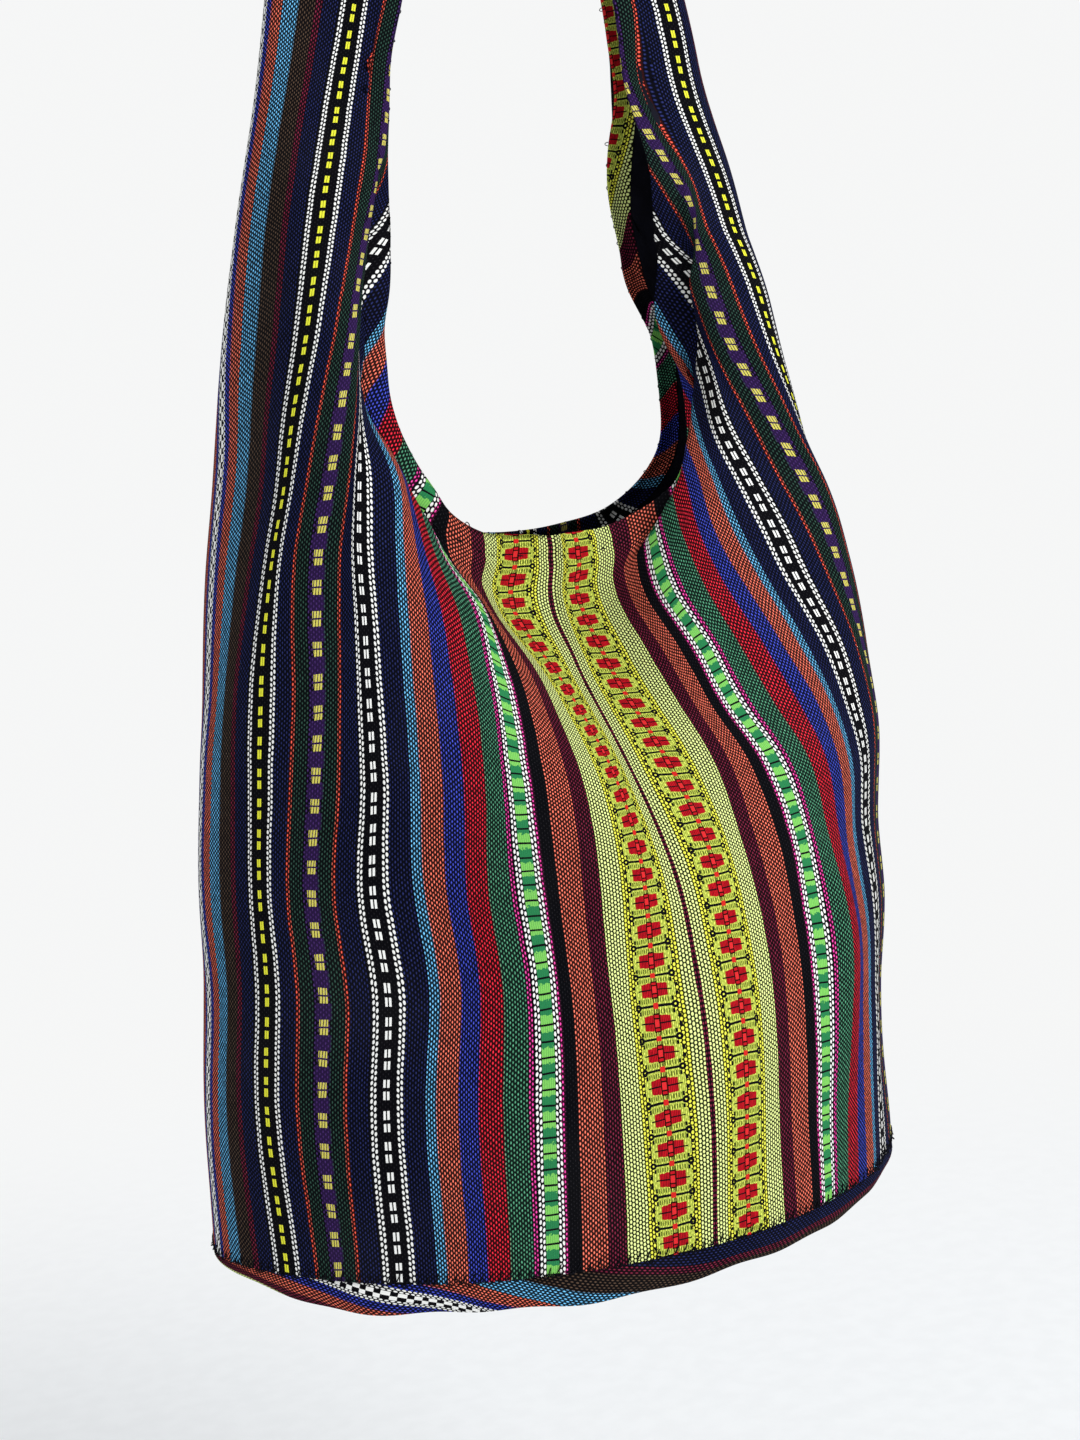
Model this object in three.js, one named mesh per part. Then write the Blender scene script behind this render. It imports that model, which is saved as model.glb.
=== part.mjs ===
// Striped cotton hobo sling bag, hanging by its strap. Millimetres, +Z up, front towards -Y.
// The origin is the point under the strap where a peg carries it.
import * as THREE from 'three';

// Body
const BASE_RADIUS = 129;        // outer radius of the round base seam
const BASE_SAG = 18;            // how far the middle of the base hangs below its seam
const MOUTH_HALF_WIDTH = 150;   // side fold to centre, at the height of the mouth
const MOUTH_LEVEL = 265;        // height over the base seam where the body has flattened
const ROUND_LEVEL = 95;         // the body is still round up to this height

// Openings cut in the cloth, seen from the front and from the back
const FRONT_SCOOP_HEIGHT = 290; // base seam to the lowest point of the front edge
const BACK_SCOOP_HEIGHT = 304;  // the same at the back
const SCOOP_TOP = 480;          // height where both edges have turned into strap edges
const SCOOP_CURVE = 2.2;        // roundness of the scoop at its bottom
const SCOOP_CORNER = 0.9;       // roundness of the scoop where it meets the strap

// Strap: the cloth of both sides runs on upwards, folded lengthwise at the side line
const STRAP_FRONT_WIDTH = 62;   // side fold to the front edge
const STRAP_BACK_WIDTH = 34;    // side fold to the back edge
const STRAP_FOLD_RADIUS = 38;   // how round the strap is folded
const STRAP_FLAT_RADIUS = 600;  // the same where it opens out over the peg
const HANG_HEIGHT = 890;        // base seam to the outer face of the strap over the peg
const PEG_TURN_RADIUS = 18;     // radius of the strap's outer face over the peg
const SHOULDER_HALF_WIDTH = 98; // side fold to centre at SHOULDER_LEVEL
const SHOULDER_LEVEL = 500;

// Cloth
const SHELL_THICKNESS = 1.5;
const LINING_THICKNESS = 1.0;
const HEM_WIDTH = 10;           // turned in hem that the lining stops at
const CLEARANCE = 0.3;          // between neighbouring pieces

// Fineness of the solids
const SCOOP_STEPS = 10;
const SIDE_STEPS = 3;
const BODY_ROWS = 9;
const STRAP_ROWS = 8;
const PEG_ROWS = 4;
const BASE_RINGS = 4;

const ALONG_SIDE = 210;         // centre front to side fold, round the base seam
const HALF_ROUND = Math.PI * BASE_RADIUS;
const SIDE_U = ALONG_SIDE;
const LINING_OFFSET = SHELL_THICKNESS + CLEARANCE;
const BODY_TOP = SCOOP_TOP - CLEARANCE / 2;
const PEG_TOP = HANG_HEIGHT - SHELL_THICKNESS - CLEARANCE - LINING_THICKNESS;

function smoothstep(from, to, value) {
  const t = Math.min(1, Math.max(0, (value - from) / (to - from)));
  return t * t * (3 - 2 * t);
}

function mix(a, b, t) {
  return a + (b - a) * t;
}

// Smooth value through hand-set knots [position, value, value].
function through(knots, at) {
  let i = 1;
  while (i < knots.length - 2 && knots[i + 1][0] < at) i += 1;
  const slope = (k, c) => {
    const before = knots[Math.max(0, k - 1)];
    const after = knots[Math.min(knots.length - 1, k + 1)];
    return (after[c] - before[c]) / (after[0] - before[0]);
  };
  const a = knots[i];
  const b = knots[i + 1];
  const span = b[0] - a[0];
  const t = (at - a[0]) / span;
  const values = [];
  for (let c = 1; c < a.length; c += 1) {
    const h00 = (1 + 2 * t) * (1 - t) * (1 - t);
    const h10 = t * (1 - t) * (1 - t);
    const h01 = t * t * (3 - 2 * t);
    const h11 = t * t * (t - 1);
    values.push(h00 * a[c] + h10 * span * slope(i, c) + h01 * b[c] + h11 * span * slope(i + 1, c));
  }
  return values;
}

// Section of the body at the mouth: distance from centre front round the cloth, then x and y.
// The straps pull the sides up, so the front caves in between two soft ridges.
const WIDE = MOUTH_HALF_WIDTH / 150;
const FRONT_CENTRE = -22;
const BACK_CENTRE = 48;
const MOUTH_SECTION = [
  [-45, -37 * WIDE, -47],
  [0, 0, FRONT_CENTRE],
  [45, 37 * WIDE, -47],
  [90, 76 * WIDE, -69],
  [120, 104 * WIDE, -74],
  [150, 129 * WIDE, -60],
  [180, 145 * WIDE, -36],
  [SIDE_U, MOUTH_HALF_WIDTH, -8],
  [SIDE_U + 34, 139 * WIDE, 24],
  [SIDE_U + 80, 105 * WIDE, 54],
  [SIDE_U + 125, 64 * WIDE, 70],
  [SIDE_U + 160, 30 * WIDE, 64],
  [HALF_ROUND, 0, BACK_CENTRE],
  [2 * HALF_ROUND - SIDE_U - 160, -30 * WIDE, 64],
];

// The side fold, from the base seam up to the top of the peg.
const TURN_CENTRE = HANG_HEIGHT - PEG_TURN_RADIUS;
const TURN_START = 0.24;
function turnPoint(angle) {
  return new THREE.Vector3(
    PEG_TURN_RADIUS * Math.cos(angle), 0, TURN_CENTRE + PEG_TURN_RADIUS * Math.sin(angle));
}
const turnFoot = turnPoint(TURN_START);
const SIDE_X_AT_BASE = BASE_RADIUS * Math.sin(SIDE_U / BASE_RADIUS);
const sideKnots = [
  new THREE.Vector3(SIDE_X_AT_BASE, 0, 0),
  new THREE.Vector3(mix(SIDE_X_AT_BASE, MOUTH_HALF_WIDTH, 0.15), 0, ROUND_LEVEL),
  new THREE.Vector3(mix(SIDE_X_AT_BASE, MOUTH_HALF_WIDTH, 0.8), 0, mix(ROUND_LEVEL, MOUTH_LEVEL, 0.7)),
  new THREE.Vector3(MOUTH_HALF_WIDTH, 0, MOUTH_LEVEL + 10),
  new THREE.Vector3(mix(SHOULDER_HALF_WIDTH, MOUTH_HALF_WIDTH, 0.73), 0, mix(MOUTH_LEVEL, SHOULDER_LEVEL, 0.37)),
  new THREE.Vector3(mix(SHOULDER_HALF_WIDTH, MOUTH_HALF_WIDTH, 0.4), 0, mix(MOUTH_LEVEL, SHOULDER_LEVEL, 0.66)),
  new THREE.Vector3(SHOULDER_HALF_WIDTH, 0, SHOULDER_LEVEL),
];
for (const share of [0.2, 0.4, 0.6, 0.8, 0.93]) {
  sideKnots.push(new THREE.Vector3(
    mix(SHOULDER_HALF_WIDTH, turnFoot.x, share), 0, mix(SHOULDER_LEVEL, turnFoot.z, share)));
}
sideKnots.push(turnFoot);
const sideLine = new THREE.CatmullRomCurve3(sideKnots, false, 'centripetal');
sideLine.arcLengthDivisions = 1200;
const LEG_LENGTH = sideLine.getLength();
const TURN_LENGTH = PEG_TURN_RADIUS * (Math.PI / 2 - TURN_START);
const SIDE_LENGTH = LEG_LENGTH + TURN_LENGTH;

// Point of the side fold and its direction, v mm up along it: a leg, then the turn over the peg.
function sideFold(v) {
  if (v <= LEG_LENGTH) {
    const share = Math.max(0, v / LEG_LENGTH);
    return { side: sideLine.getPointAt(share), along: sideLine.getTangentAt(share) };
  }
  const angle = TURN_START + (v - LEG_LENGTH) / PEG_TURN_RADIUS;
  return { side: turnPoint(angle), along: new THREE.Vector3(-Math.sin(angle), 0, Math.cos(angle)) };
}

// Point of the outer face of the cloth: u mm round from centre front, v mm up along the side fold.
function rightPoint(u, v) {
  const { side, along } = sideFold(v);
  const angle = u / BASE_RADIUS;
  const flat = smoothstep(ROUND_LEVEL, MOUTH_LEVEL, v);
  const [mouthX, mouthY] = through(MOUTH_SECTION, u);
  const bodyX = mix(BASE_RADIUS * Math.sin(angle), mouthX, flat);
  const bodyY = mix(-BASE_RADIUS * Math.cos(angle), mouthY, flat);
  const foldX = mix(SIDE_X_AT_BASE, MOUTH_HALF_WIDTH, flat);
  const opened = smoothstep(SHOULDER_LEVEL + 60, LEG_LENGTH - 10, v);
  const radius = 1 / mix(1 / STRAP_FOLD_RADIUS, 1 / STRAP_FLAT_RADIUS, Math.sqrt(opened));
  const bend = (SIDE_U - u) / radius;
  const strapN = -radius * (1 - Math.cos(bend));
  const strapY = -radius * Math.sin(bend);
  const strap = smoothstep(MOUTH_LEVEL + 35, SCOOP_TOP - 40, v);
  const n = mix(bodyX - foldX, strapN, strap);
  const y = mix(bodyY, strapY, strap);
  const lean = smoothstep(MOUTH_LEVEL + 20, SHOULDER_LEVEL, v);
  const out = new THREE.Vector3(mix(1, along.z, lean), 0, mix(0, -along.x, lean)).normalize();
  return side.clone().addScaledVector(out, n).add(new THREE.Vector3(0, y, 0));
}

// The same point moved inwards by depth, square to the cloth.
function clothPoint(u, v, depth) {
  const mirrored = u < 0;
  const at = Math.abs(u);
  const step = 0.5;
  const point = rightPoint(at, v);
  const across = rightPoint(at + step, v).sub(rightPoint(at - step, v));
  const low = Math.max(0, v - step);
  const high = Math.min(SIDE_LENGTH, v + step);
  const up = rightPoint(at, high).sub(rightPoint(at, low));
  const normal = across.cross(up).normalize();
  if (at < 1e-6 || Math.abs(at - HALF_ROUND) < 1e-6) normal.x = 0;
  normal.normalize();
  point.addScaledVector(normal, -depth);
  if (mirrored) point.x = -point.x;
  return point;
}

// Edge of one opening, from its lowest point to where it becomes the strap's edge.
// Each entry holds the edge point and the point one hem width inside it.
function openingEdge(height, halfWidth) {
  const fine = [];
  const count = 600;
  for (let i = 0; i <= count; i += 1) {
    const x = Math.sin((Math.PI / 2) * (i / count));
    const rise = 1 - Math.pow(1 - Math.pow(x, SCOOP_CURVE), SCOOP_CORNER);
    fine.push(new THREE.Vector2(x * halfWidth, height + rise * (BODY_TOP - height)));
  }
  const lengths = [0];
  for (let i = 1; i <= count; i += 1) lengths.push(lengths[i - 1] + fine[i].distanceTo(fine[i - 1]));
  const edge = [];
  let k = 0;
  for (let s = 0; s <= SCOOP_STEPS; s += 1) {
    const target = (lengths[count] * s) / SCOOP_STEPS;
    while (k < count && lengths[k] < target - 1e-9) k += 1;
    const here = fine[k];
    const tangent = fine[Math.min(count, k + 1)].clone().sub(fine[Math.max(0, k - 1)]).normalize();
    if (s === 0) tangent.set(1, 0);
    if (s === SCOOP_STEPS) tangent.set(0, 1);
    const inside = new THREE.Vector2(here.x + tangent.y * HEM_WIDTH, here.y - tangent.x * HEM_WIDTH);
    edge.push({ at: here, inside });
  }
  return edge;
}

// Cells of one half of a body panel, in distances from the panel's own centre line.
// core is what the lining covers too, hem is the turned edge round the opening.
function halfPanel(height, centreToSide, strapWidth) {
  const toEdge = centreToSide - strapWidth;
  const edge = openingEdge(height, toEdge);
  const columns = edge.map((e) => ({ u: e.inside.x, top: e.inside.y }));
  const firstFree = toEdge + HEM_WIDTH;
  for (let i = 1; i <= SIDE_STEPS; i += 1) {
    columns.push({ u: mix(firstFree, centreToSide, i / SIDE_STEPS), top: BODY_TOP });
  }
  const core = [];
  const hem = [];
  const body = (i, j) => [columns[i].u, (columns[i].top * j) / BODY_ROWS];
  for (let i = 0; i + 1 < columns.length; i += 1) {
    for (let j = 0; j < BODY_ROWS; j += 1) core.push([body(i, j), body(i + 1, j), body(i + 1, j + 1), body(i, j + 1)]);
  }
  for (let i = 0; i < SCOOP_STEPS; i += 1) {
    const [a, b] = [edge[i], edge[i + 1]];
    hem.push([[a.inside.x, a.inside.y], [b.inside.x, b.inside.y], [b.at.x, b.at.y], [a.at.x, a.at.y]]);
  }
  return { core, hem, columns };
}

// Distances from the side fold at which the strap's cloth is cut into cells: the edge, one hem
// width inside it, and on to the fold.
function strapColumns(width) {
  const list = [width];
  for (let i = 0; i < SIDE_STEPS; i += 1) list.push(mix(width - HEM_WIDTH, 0, i / SIDE_STEPS));
  return list;
}

// Cells of one leg of the strap, from its front edge round the side fold to its back edge.
function strapCells() {
  const before = strapColumns(STRAP_FRONT_WIDTH).map((d) => SIDE_U - d);
  const after = strapColumns(STRAP_BACK_WIDTH).map((d) => SIDE_U + d).reverse();
  const columns = [...before, SIDE_U, ...after];
  const heights = [];
  const top = SIDE_LENGTH - CLEARANCE / 2;
  for (let i = 0; i <= STRAP_ROWS; i += 1) heights.push(mix(BODY_TOP + CLEARANCE, LEG_LENGTH, i / STRAP_ROWS));
  for (let i = 1; i <= PEG_ROWS; i += 1) heights.push(mix(LEG_LENGTH, top, i / PEG_ROWS));
  const core = [];
  const hem = [];
  for (let i = 0; i + 1 < columns.length; i += 1) {
    const list = i === 0 || i + 2 === columns.length ? hem : core;
    const [u0, u1] = [columns[i], columns[i + 1]];
    for (let j = 0; j + 1 < heights.length; j += 1) {
      list.push([[u0, heights[j]], [u1, heights[j]], [u1, heights[j + 1]], [u0, heights[j + 1]]]);
    }
  }
  return { core, hem };
}

// Cells in u, v of the whole bag. place turns a distance from a panel's centre line into u, for
// the right half; the left half is its mirror image.
function onSides(cells, place, sides) {
  const placed = [];
  for (const side of sides) {
    for (const cell of cells) {
      const corners = cell.map(([d, v]) => ({ side, u: place(d), v }));
      placed.push(side > 0 ? corners : corners.reverse());
    }
  }
  return placed;
}

function meshFrom(name, points, faces, material) {
  const a = new THREE.Vector3();
  let volume = 0;
  for (const [i, j, k] of faces) volume += points[i].dot(a.crossVectors(points[j], points[k]));
  const turned = volume < 0 ? faces.map(([i, j, k]) => [i, k, j]) : faces;
  const geometry = new THREE.BufferGeometry();
  geometry.setAttribute('position', new THREE.Float32BufferAttribute(points.flatMap((p) => [p.x, p.y, p.z]), 3));
  geometry.setIndex(turned.flat());
  geometry.computeVertexNormals();
  const mesh = new THREE.Mesh(geometry, material);
  mesh.name = name;
  mesh.position.z = -PEG_TOP;
  return mesh;
}

// A closed sheet over some cells, between two depths under the outer face of the cloth.
function sheet(name, cells, nearDepth, farDepth, bottom, material) {
  const points = [];
  const faces = [];
  const seen = new Map();
  const edges = new Map();
  const indexOf = ({ side, u, v }) => {
    const centre = u < 1e-6 || Math.abs(u - HALF_ROUND) < 1e-6;
    const key = `${centre ? 0 : side},${u.toFixed(3)},${v.toFixed(3)}`;
    if (!seen.has(key)) {
      const height = Math.max(v, bottom);
      seen.set(key, points.length);
      points.push(clothPoint(centre ? u : side * u, height, nearDepth));
      points.push(clothPoint(centre ? u : side * u, height, farDepth));
    }
    return seen.get(key);
  };
  for (const cell of cells) {
    const q = cell.map(indexOf);
    faces.push([q[0], q[1], q[2]], [q[0], q[2], q[3]]);
    faces.push([q[0] + 1, q[2] + 1, q[1] + 1], [q[0] + 1, q[3] + 1, q[2] + 1]);
    for (let i = 0; i < 4; i += 1) edges.set(`${q[i]},${q[(i + 1) % 4]}`, [q[i], q[(i + 1) % 4]]);
  }
  for (const [a, b] of edges.values()) {
    if (edges.has(`${b},${a}`)) continue;
    faces.push([b, a, a + 1], [b, a + 1, b + 1]);
  }
  return meshFrom(name, points, faces, material);
}

// A sagging round disc with its corners at the given angles.
function sagDisc(name, angles, radius, rimTop, thickness, material) {
  const points = [];
  const faces = [];
  const height = (r) => rimTop - BASE_SAG * (1 - (r / BASE_RADIUS) ** 2);
  const count = angles.length;
  for (const drop of [0, thickness]) {
    points.push(new THREE.Vector3(0, 0, height(0) - drop));
    for (let ring = 1; ring <= BASE_RINGS; ring += 1) {
      const r = (radius * ring) / BASE_RINGS;
      for (const angle of angles) {
        points.push(new THREE.Vector3(r * Math.sin(angle), -r * Math.cos(angle), height(r) - drop));
      }
    }
  }
  const half = 1 + BASE_RINGS * count;
  const at = (face, ring, i) => face * half + (ring === 0 ? 0 : 1 + (ring - 1) * count + (i % count));
  for (let i = 0; i < count; i += 1) {
    for (const face of [0, 1]) {
      const turn = (t) => (face === 0 ? t : [t[0], t[2], t[1]]);
      faces.push(turn([at(face, 0, 0), at(face, 1, i), at(face, 1, i + 1)]));
      for (let ring = 1; ring < BASE_RINGS; ring += 1) {
        const [a, b] = [at(face, ring, i), at(face, ring + 1, i)];
        const [c, d] = [at(face, ring + 1, i + 1), at(face, ring, i + 1)];
        faces.push(turn([a, b, c]), turn([a, c, d]));
      }
    }
    const [a, b] = [at(0, BASE_RINGS, i), at(0, BASE_RINGS, i + 1)];
    faces.push([a, a + half, b + half], [a, b + half, b]);
  }
  return meshFrom(name, points, faces, material);
}

function cloth(color, roughness) {
  return new THREE.MeshStandardMaterial({ color, roughness, metalness: 0 });
}

const bag = new THREE.Group();
bag.name = 'striped_hobo_sling_bag';

const backToSide = HALF_ROUND - SIDE_U;
const front = halfPanel(FRONT_SCOOP_HEIGHT, SIDE_U - CLEARANCE / 2, STRAP_FRONT_WIDTH);
const back = halfPanel(BACK_SCOOP_HEIGHT, backToSide - CLEARANCE / 2, STRAP_BACK_WIDTH);
const strap = strapCells();
const liningDepth = LINING_OFFSET + LINING_THICKNESS;
const liningBottom = CLEARANCE + LINING_THICKNESS + CLEARANCE;
const striped = (color) => cloth(color, 0.9);
const plain = (color) => cloth(color, 0.95);

// Adds the striped cloth and the lining behind it over one set of cells.
function addCloth(name, cells, place, sides, color, liningColor) {
  const whole = [...cells.core, ...cells.hem];
  bag.add(sheet(`outer_${name}`, onSides(whole, place, sides), 0, SHELL_THICKNESS, 0, striped(color)));
  bag.add(sheet(`lining_${name}`, onSides(cells.core, place, sides), LINING_OFFSET, liningDepth, liningBottom,
    plain(liningColor)));
}

addCloth('front', front, (d) => d, [1, -1], 0x2a3f7a, 0x15161c);
addCloth('back', back, (d) => HALF_ROUND - d, [1, -1], 0xc65a3f, 0x1a1b22);
addCloth('strap_right', strap, (u) => u, [1], 0x3c8a5a, 0x17181f);
addCloth('strap_left', strap, (u) => u, [-1], 0x6a3f8a, 0x17181f);

const angles = [];
for (const column of front.columns) angles.push(column.u / BASE_RADIUS);
for (const column of back.columns) angles.push((HALF_ROUND - column.u) / BASE_RADIUS);
const round = [];
for (const angle of angles) round.push(angle, -angle);
round.sort((a, b) => a - b);
const corners = round.filter((angle, i) => {
  const before = i === 0 ? round[round.length - 1] - 2 * Math.PI : round[i - 1];
  return angle - before > 0.01;
});
bag.add(sagDisc('outer_base', corners, BASE_RADIUS, -CLEARANCE, SHELL_THICKNESS, striped(0x5a2438)));
bag.add(sagDisc('lining_base', corners, BASE_RADIUS - LINING_OFFSET, LINING_THICKNESS, LINING_THICKNESS,
  plain(0x101116)));

export default bag;
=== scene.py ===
import math

import bmesh
import bpy
import numpy as np
from mathutils import Matrix, Vector


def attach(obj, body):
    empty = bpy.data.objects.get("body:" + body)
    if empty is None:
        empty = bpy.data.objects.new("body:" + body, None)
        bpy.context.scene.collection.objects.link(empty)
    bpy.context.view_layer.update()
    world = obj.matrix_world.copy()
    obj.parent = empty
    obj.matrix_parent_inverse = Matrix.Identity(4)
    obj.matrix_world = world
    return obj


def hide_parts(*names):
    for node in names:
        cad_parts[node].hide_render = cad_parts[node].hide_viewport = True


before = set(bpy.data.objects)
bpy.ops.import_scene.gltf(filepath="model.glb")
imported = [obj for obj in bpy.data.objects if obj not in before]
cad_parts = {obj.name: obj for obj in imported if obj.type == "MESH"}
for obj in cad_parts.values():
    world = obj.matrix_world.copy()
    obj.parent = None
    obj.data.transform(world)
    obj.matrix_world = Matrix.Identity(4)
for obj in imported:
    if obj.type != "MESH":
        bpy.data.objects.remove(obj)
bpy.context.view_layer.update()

MM = 0.001
BASE_DROP = 887.2        # mm from the peg point down to the base seam
STRIPE = 0.908           # mm on the bag for one unit of the stripe pattern

# Cloth coordinates: u runs round the bag from centre front in stripe units, v up the side in mm
SIDE_U = 210.0           # side fold
FRONT_EDGE_U = 147.4     # front edge of the strap
BACK_EDGE_U = 244.0      # back edge of the strap
SCOOP_TOP = 480.0        # both openings have become strap edges here
BASE_HALF_WIDTH = 135.0
BASE_HALF_DEPTH = 124.0
BASE_SAG = 17.0
BAND_HEIGHT = 11.0       # upright rim of the base cloth under the seam
HEM = 10.0
LINING_GAP = 0.8         # from the outer face of the cloth in to the lining
LINING_INSET = 5.0       # from the edges of the openings down to the lining
HANG_HEIGHT = 890.0
PEG_TURN_RADIUS = 18.0
TURN_START = 0.24        # angle at which a leg of the strap begins to bend over the peg


def smooth(low, high, t):
    t = np.clip((t - low) / (high - low), 0, 1)
    return t * t * (3 - 2 * t)


def mix(a, b, t):
    return a + (b - a) * t


def run_along(points):
    """Distance along a line of flat points, at each of them."""
    return np.concatenate([[0], np.cumsum(np.hypot(*np.diff(points, axis=0).T))])


def slopes(knots, values):
    """Slopes of a smooth curve through values, along the axis of the knots (the last but one)."""
    steps = np.diff(knots)[:, None]
    rises = np.diff(values, axis=-2) / steps
    out = np.empty_like(values)
    out[..., 0, :] = rises[..., 0, :]
    out[..., -1, :] = rises[..., -1, :]
    before, after = steps[:-1], steps[1:]
    out[..., 1:-1, :] = (rises[..., :-1, :] * after + rises[..., 1:, :] * before) / (before + after)
    return out


def hermite(t, width, a, b, slope_a, slope_b):
    return ((1 + 2 * t) * (1 - t) ** 2 * a + t * (1 - t) ** 2 * width * slope_a
            + t * t * (3 - 2 * t) * b + t * t * (t - 1) * width * slope_b)


def through(points, t):
    """Smooth curve through (knot, value, ...) rows, at every t."""
    points = np.asarray(points, float)
    knots, values = points[:, 0], points[:, 1:]
    slope = slopes(knots, values)
    flat = np.clip(np.asarray(t, float).ravel(), knots[0], knots[-1])
    i = np.clip(np.searchsorted(knots, flat, side="right") - 1, 0, len(knots) - 2)
    width = (knots[i + 1] - knots[i])[:, None]
    share = (flat - knots[i])[:, None] / width
    out = hermite(share, width, values[i], values[i + 1], slope[i], slope[i + 1])
    return out.reshape(np.shape(t) + (values.shape[1],))


def between_columns(stops, rows, slope, u):
    """Smooth values at u, from rows of values and slopes at the stops."""
    i = np.clip(np.searchsorted(stops, u, side="right") - 1, 0, len(stops) - 2)
    width = (stops[i + 1] - stops[i])[..., None]
    share = np.clip((u - stops[i])[..., None] / width, 0, 1)

    def pick(values, j):
        return np.take_along_axis(values, j[..., None, None], axis=-2)[..., 0, :]

    return hermite(share, width, pick(rows, i), pick(rows, i + 1), pick(slope, i), pick(slope, i + 1))


# Shape of the hanging bag. Every section lists (x, y) at these distances from centre front.
SECTION_FRONT_U = [0, 20, 36, 50, 62, 75, 88, 105, 125, 150, 180, SIDE_U]
SECTION_BACK_U = [245, 290, 335, 385]
FRONT = {
    132: [(0, -121), (18, -121), (33, -118), (46, -113), (57, -107), (69, -99),
          (80, -91), (93, -80), (107, -68), (121, -50), (133, -28), (139, 3)],
    173: [(0, -90), (18, -93), (33, -97), (45, -98), (56, -97), (67, -93),
          (79, -87), (92, -79), (106, -69), (122, -52), (134, -30), (140, 2)],
    205: [(0, -58), (17, -65), (31, -76), (43, -83), (55, -87), (66, -87),
          (78, -84), (91, -77), (105, -68), (121, -53), (134, -32), (140, 2)],
    229: [(0, -37), (20, -41), (34, -50), (44, -60), (53, -70), (64, -76),
          (75, -77), (89, -74), (103, -68), (120, -54), (132, -33), (139, 2)],
    251: [(0, -34), (22, -35), (39, -37), (52, -42), (60, -52), (67, -62),
          (75, -69), (87, -72), (101, -69), (117, -56), (129, -35), (137, 1)],
    275: [(0, -34), (22, -34), (40, -34), (54, -37), (62, -43), (70, -51),
          (77, -60), (85, -68), (97, -70), (111, -61), (124, -40), (134, 1)],
    300: [(0, -32), (22, -32), (38, -32), (50, -33), (58, -34), (65, -36),
          (74, -41), (84, -53), (90, -68), (101, -67), (116, -45), (127, 0)],
    329: [(0, -30), (20, -30), (34, -30), (45, -30), (53, -30), (59, -30),
          (65, -31), (72, -38), (79, -58), (87, -67), (105, -48), (119.5, 0)],
    373: [(0, -28), (18, -28), (30, -28), (38, -28), (45, -28), (50, -28),
          (54, -28), (58, -29), (62, -36), (71, -55), (93, -44), (110, 0)],
}
BACK = {
    132: [(133, 30), (112, 68), (80, 96), (40, 114), (0, 119)],
    173: [(134, 28), (114, 62), (82, 88), (42, 104), (0, 108)],
    205: [(135, 27), (114, 58), (82, 80), (42, 94), (0, 97)],
    229: [(134, 26), (112, 54), (80, 73), (40, 84), (0, 85)],
    251: [(132, 25), (110, 50), (78, 66), (38, 74), (0, 74)],
    275: [(128, 24), (105, 46), (74, 60), (36, 66), (0, 65)],
    300: [(120, 25), (98, 43), (70, 55), (34, 60), (0, 58)],
    329: [(106, 25), (86, 39), (62, 50), (32, 55), (0, 54)],
    373: [(86, 18), (66, 30), (52, 42), (30, 50), (0, 50)],
}
SWELL = {0: (1, 1), 30: (1.015, 1.03), 62: (1.02, 1.055), 97: (1.025, 1.045)}
SECTION_TOP = 373.0
# How far the cloth near centre front has sunk below the height it has at the side
SINK = [(0, 0), (132, 2), (173, 10), (220, 24), (266, 33), (300, 36), (420, 36)]
SINK_ROUND = [1, 1, 0.95, 0.8, 0.6, 0.4, 0.2, 0.08, 0, 0, 0, 0, 0, 0.1, 0.3, 0.4, 0.4]
# Edges of the two openings: distance from centre front and height up the cloth
FRONT_EDGE = [(0, 291), (16, 292), (41, 293), (64, 300), (76, 308), (88, 323), (100, 340),
              (112, 361), (126, 386), (138, 410), (145, 440), (147.4, 480)]
BACK_EDGE = [(244, 480), (246, 430), (253, 405), (263, 385), (275, 371), (290, 347), (306, 325),
             (323, 304), (335, 294), (350, 286), (377, 281), (410, 279)]
# The body hangs a little to the right between base and strap, and its base a little askew
SWAY = [(0, 0), (50, 0), (90, 2.5), (138, 6.5), (195, 10), (240, 11.5), (300, 10),
        (370, 7), (470, 4.5), (600, 2), (750, 0), (900, 0)]
BASE_TILT = math.radians(2.2)
VIEW_AZIMUTH = math.radians(24.6)
ACROSS = np.array([math.cos(VIEW_AZIMUTH), -math.sin(VIEW_AZIMUTH), -0.07])
TOWARDS = np.array([-math.sin(VIEW_AZIMUTH), -math.cos(VIEW_AZIMUTH), 0.0])

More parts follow.
